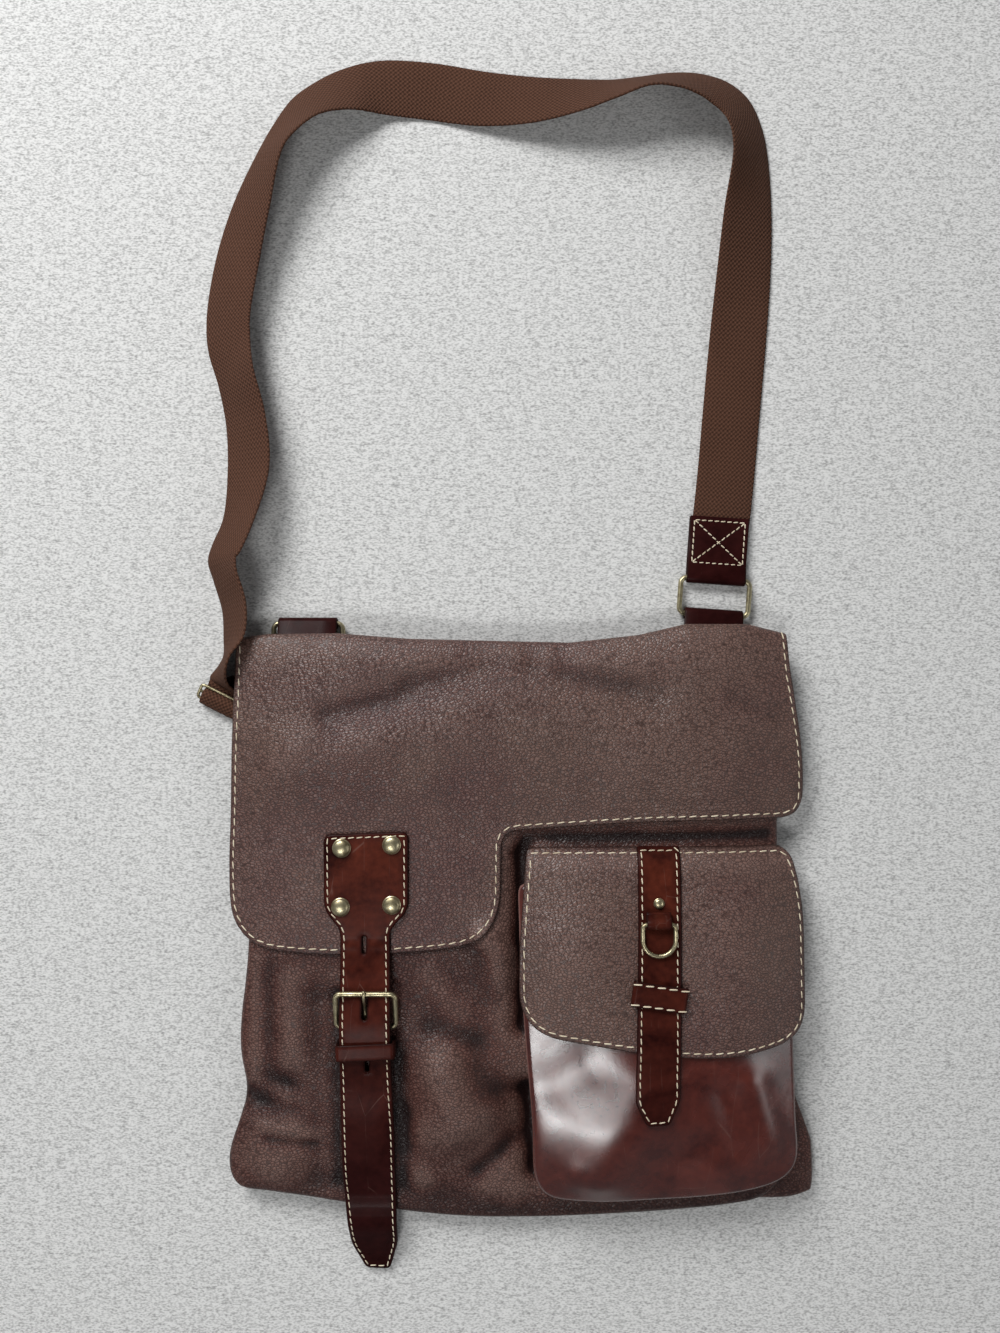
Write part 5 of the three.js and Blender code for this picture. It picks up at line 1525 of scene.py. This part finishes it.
def boxed_cross(place, low_y, high_y, half_width, height):
    """Rows of stitches round a box and across its diagonals."""
    corners = [(-half_width, low_y), (half_width, low_y), (half_width, high_y), (-half_width, high_y)]
    lines = [(0, 1), (1, 2), (2, 3), (3, 0), (0, 2), (1, 3)]
    return [straight_row(place, [(*corners[index], height) for index in line], BOX_THREAD) for line in lines]


ring_half = STRAP_RING_LENGTH / 2
right_turn = Matrix.Rotation(radians(RIGHT_FITTING_TURN), 4, "Z")
right_place = Matrix.Translation((*RIGHT_FITTING, 0)) @ right_turn
strap_ring("strap_ring_right", right_place @ Matrix.Translation((0, 0, STRAP_RING_Z)))
right_seam = TAB_SEWN_Y - RIGHT_FITTING[1]
anchor_tab("anchor_tab_right", right_place, -ring_half, right_seam, BACK_TOP - RIGHT_FITTING[1])
tab_top = end_tab("strap_end_tab", right_place, ring_half)
box_end = ring_half + END_TAB_LENGTH - END_BOX_INSET
box_rows = boxed_cross(right_place, box_end - END_BOX_LENGTH, box_end, END_BOX_WIDTH / 2, tab_top)
stitches("strap_end_stitches", box_rows)

left_place = Matrix.Translation((LEFT_RING[0], 0, 0))
strap_ring("strap_ring_left", left_place @ Matrix.Translation((0, LEFT_RING[1] - ring_half, STRAP_RING_Z)))
anchor_tab("anchor_tab_left", left_place, LEFT_RING[1], TAB_SEWN_Y, BACK_TOP)

slider_turn = radians(SLIDER_ACROSS)
slider_along = np.array([np.sin(slider_turn), -np.cos(slider_turn)])
slider_middle = np.array(SLIDER) + slider_along * SLIDER_BAR_STEP
slider_length = 2 * SLIDER_BAR_STEP
slider_tilt = np.arctan2(SLIDER_FRONT_Z - SLIDER_REAR_Z, slider_length)
slider_place = (
    Matrix.Translation((*slider_middle, (SLIDER_FRONT_Z + SLIDER_REAR_Z) / 2))
    @ Matrix.Rotation(slider_turn, 4, "Z")
    @ Matrix.Rotation(slider_tilt, 4, "X")
)
slider_sizes = (SLIDER_WIDTH, slider_length, SLIDER_WIRE, SLIDER_CORNER, SLIDER_CORNER)
slider_loop = wire_frame("slider_loop", slider_place, *slider_sizes)
slider_normal = np.array(slider_place.to_3x3() @ Vector((0, 0, 1)))
bar_ends = placed(slider_place, [(-SLIDER_WIDTH / 2, 0, 0), (SLIDER_WIDTH / 2, 0, 0)])
slider_bar = tube("slider_bar", bar_ends, SLIDER_WIRE, slider_normal)
dress(joined("strap_slider_brass", [slider_loop, slider_bar]), BRASS, "strap_slider")


def route_edges():
    """The webbing's two edges along its free run."""
    tangent = unit(np.gradient(spline(plan_points(STRAP_ROUTE)), axis=0)[::CURVE_STEPS])
    edges = []
    for index, (row, (forward_x, forward_y)) in enumerate(zip(STRAP_ROUTE, tangent)):
        rise = STRAP_END_RISE if index < STRAP_END_ROWS else 0.0
        lean = radians(row.lean)
        start = np.array([row.x, row.y, WEBBING_WALL / 2 + GAP + rise])
        across = np.array([-forward_y * np.cos(lean), forward_x * np.cos(lean), np.sin(lean)])
        edges.append(Edges(start, start + across * WEBBING_WIDTH))
    return edges


def slider_edges():
    """The webbing's two edges through the slider, under the bag and round the left ring."""
    far_bar = LEFT_RING[1] - STRAP_RING_LENGTH
    wrap = STRAP_RING_Z - UNDER_STRAP_Z
    passes = [(*(np.array(SLIDER) + slider_along * row.at), row.value) for row in SLIDER_PASS]
    middles = [Middle(*point, SLIDER_ACROSS) for point in passes] + UNDER_BAG
    middles += [
        Middle(LEFT_RING[0], far_bar, UNDER_STRAP_Z, 0),
        Middle(LEFT_RING[0], far_bar + wrap, STRAP_RING_Z, 0),
        Middle(LEFT_RING[0], far_bar, STRAP_RING_Z + wrap, 0),
        Middle(LEFT_RING[0], far_bar - STRAP_TAIL, STRAP_RING_Z + wrap - STRAP_TAIL_DROP, 0),
    ]
    edges = []
    for row in middles:
        turn = radians(row.across)
        half = np.array([np.cos(turn), np.sin(turn), 0]) * WEBBING_WIDTH / 2
        middle = np.array([row.x, row.y, row.z])
        edges.append(Edges(middle - half, middle + half))
    return edges


strap_low, strap_high = (spline(edge) for edge in zip(*route_edges(), *STRAP_TWIST, *slider_edges()))
shoulder_strap = ribbon(
    "shoulder_strap_webbing", strap_low, strap_high, WEBBING_WALL, WEBBING_COLUMNS, WEBBING_CUP
)
dress(shoulder_strap, WEBBING, "shoulder_strap")

# Stage: pale cloth, soft studio light from the top of the photograph, camera straight above


class Lamp(NamedTuple):
    """Rectangular light: its place, what it faces, its sides in metres and its power in watts."""

    name: str
    place: tuple
    target: tuple
    width: float
    length: float
    power: float


LAMPS = [
    Lamp("key_light", (-0.85, 1.4, 1.25), (0.0, -0.05, 0.0), 0.9, 0.9, 43.0),
    Lamp("gloss_light", (-0.34, -0.76, 1.3), (-0.34, -0.3, 0.0), 0.46, 0.26, 6.0),
    Lamp("side_light", (1.25, -0.45, 0.95), (0.0, -0.2, 0.0), 0.6, 0.6, 2.8),
]

floor_sides = ((-1, -1), (1, -1), (1, 1), (-1, 1))
floor_points = np.array([(x * FLOOR_REACH, y * FLOOR_REACH, -FLOOR_DROP) for x, y in floor_sides])
floor = mesh_object("floor", floor_points, [[0, 1, 2, 3]])
floor.data.materials.append(floor_cloth())

for lamp in LAMPS:
    light = bpy.data.lights.new(lamp.name, "AREA")
    light.shape = "RECTANGLE"
    light.size = lamp.width
    light.size_y = lamp.length
    light.energy = lamp.power
    holder = bpy.data.objects.new(lamp.name, light)
    holder.location = lamp.place
    holder.rotation_euler = (Vector(lamp.target) - Vector(lamp.place)).to_track_quat("-Z", "Y").to_euler()
    bpy.context.collection.objects.link(holder)

# Pale walls all round and a dark ceiling behind the camera
world = bpy.data.worlds.new("studio")
world.use_nodes = True
sky_nodes = world.node_tree.nodes
sky_links = world.node_tree.links
direction = sky_nodes.new("ShaderNodeTexCoord")
upward = sky_nodes.new("ShaderNodeSeparateXYZ")
brightness = sky_nodes.new("ShaderNodeMapRange")
brightness.interpolation_type = "SMOOTHSTEP"
brightness.inputs["From Min"].default_value = CEILING_FROM
brightness.inputs["From Max"].default_value = CEILING_FULL
brightness.inputs["To Min"].default_value = WALL_BRIGHTNESS
brightness.inputs["To Max"].default_value = CEILING_BRIGHTNESS
sky_links.new(direction.outputs["Generated"], upward.inputs[0])
sky_links.new(upward.outputs["Z"], brightness.inputs["Value"])
sky_links.new(brightness.outputs[0], sky_nodes["Background"].inputs["Strength"])
sky_nodes["Background"].inputs["Color"].default_value = SKY_WHITE
bpy.context.scene.world = world
bpy.context.scene.view_settings.view_transform = "Standard"

camera = bpy.data.cameras.new("camera")
camera.sensor_width = SENSOR
camera.lens = SENSOR * CAMERA_HEIGHT / VIEW_LENGTH
viewer = bpy.data.objects.new("camera", camera)
viewer.location = (SHIFT[0] * MM, SHIFT[1] * MM, CAMERA_HEIGHT * MM)
bpy.context.collection.objects.link(viewer)
bpy.context.scene.camera = viewer
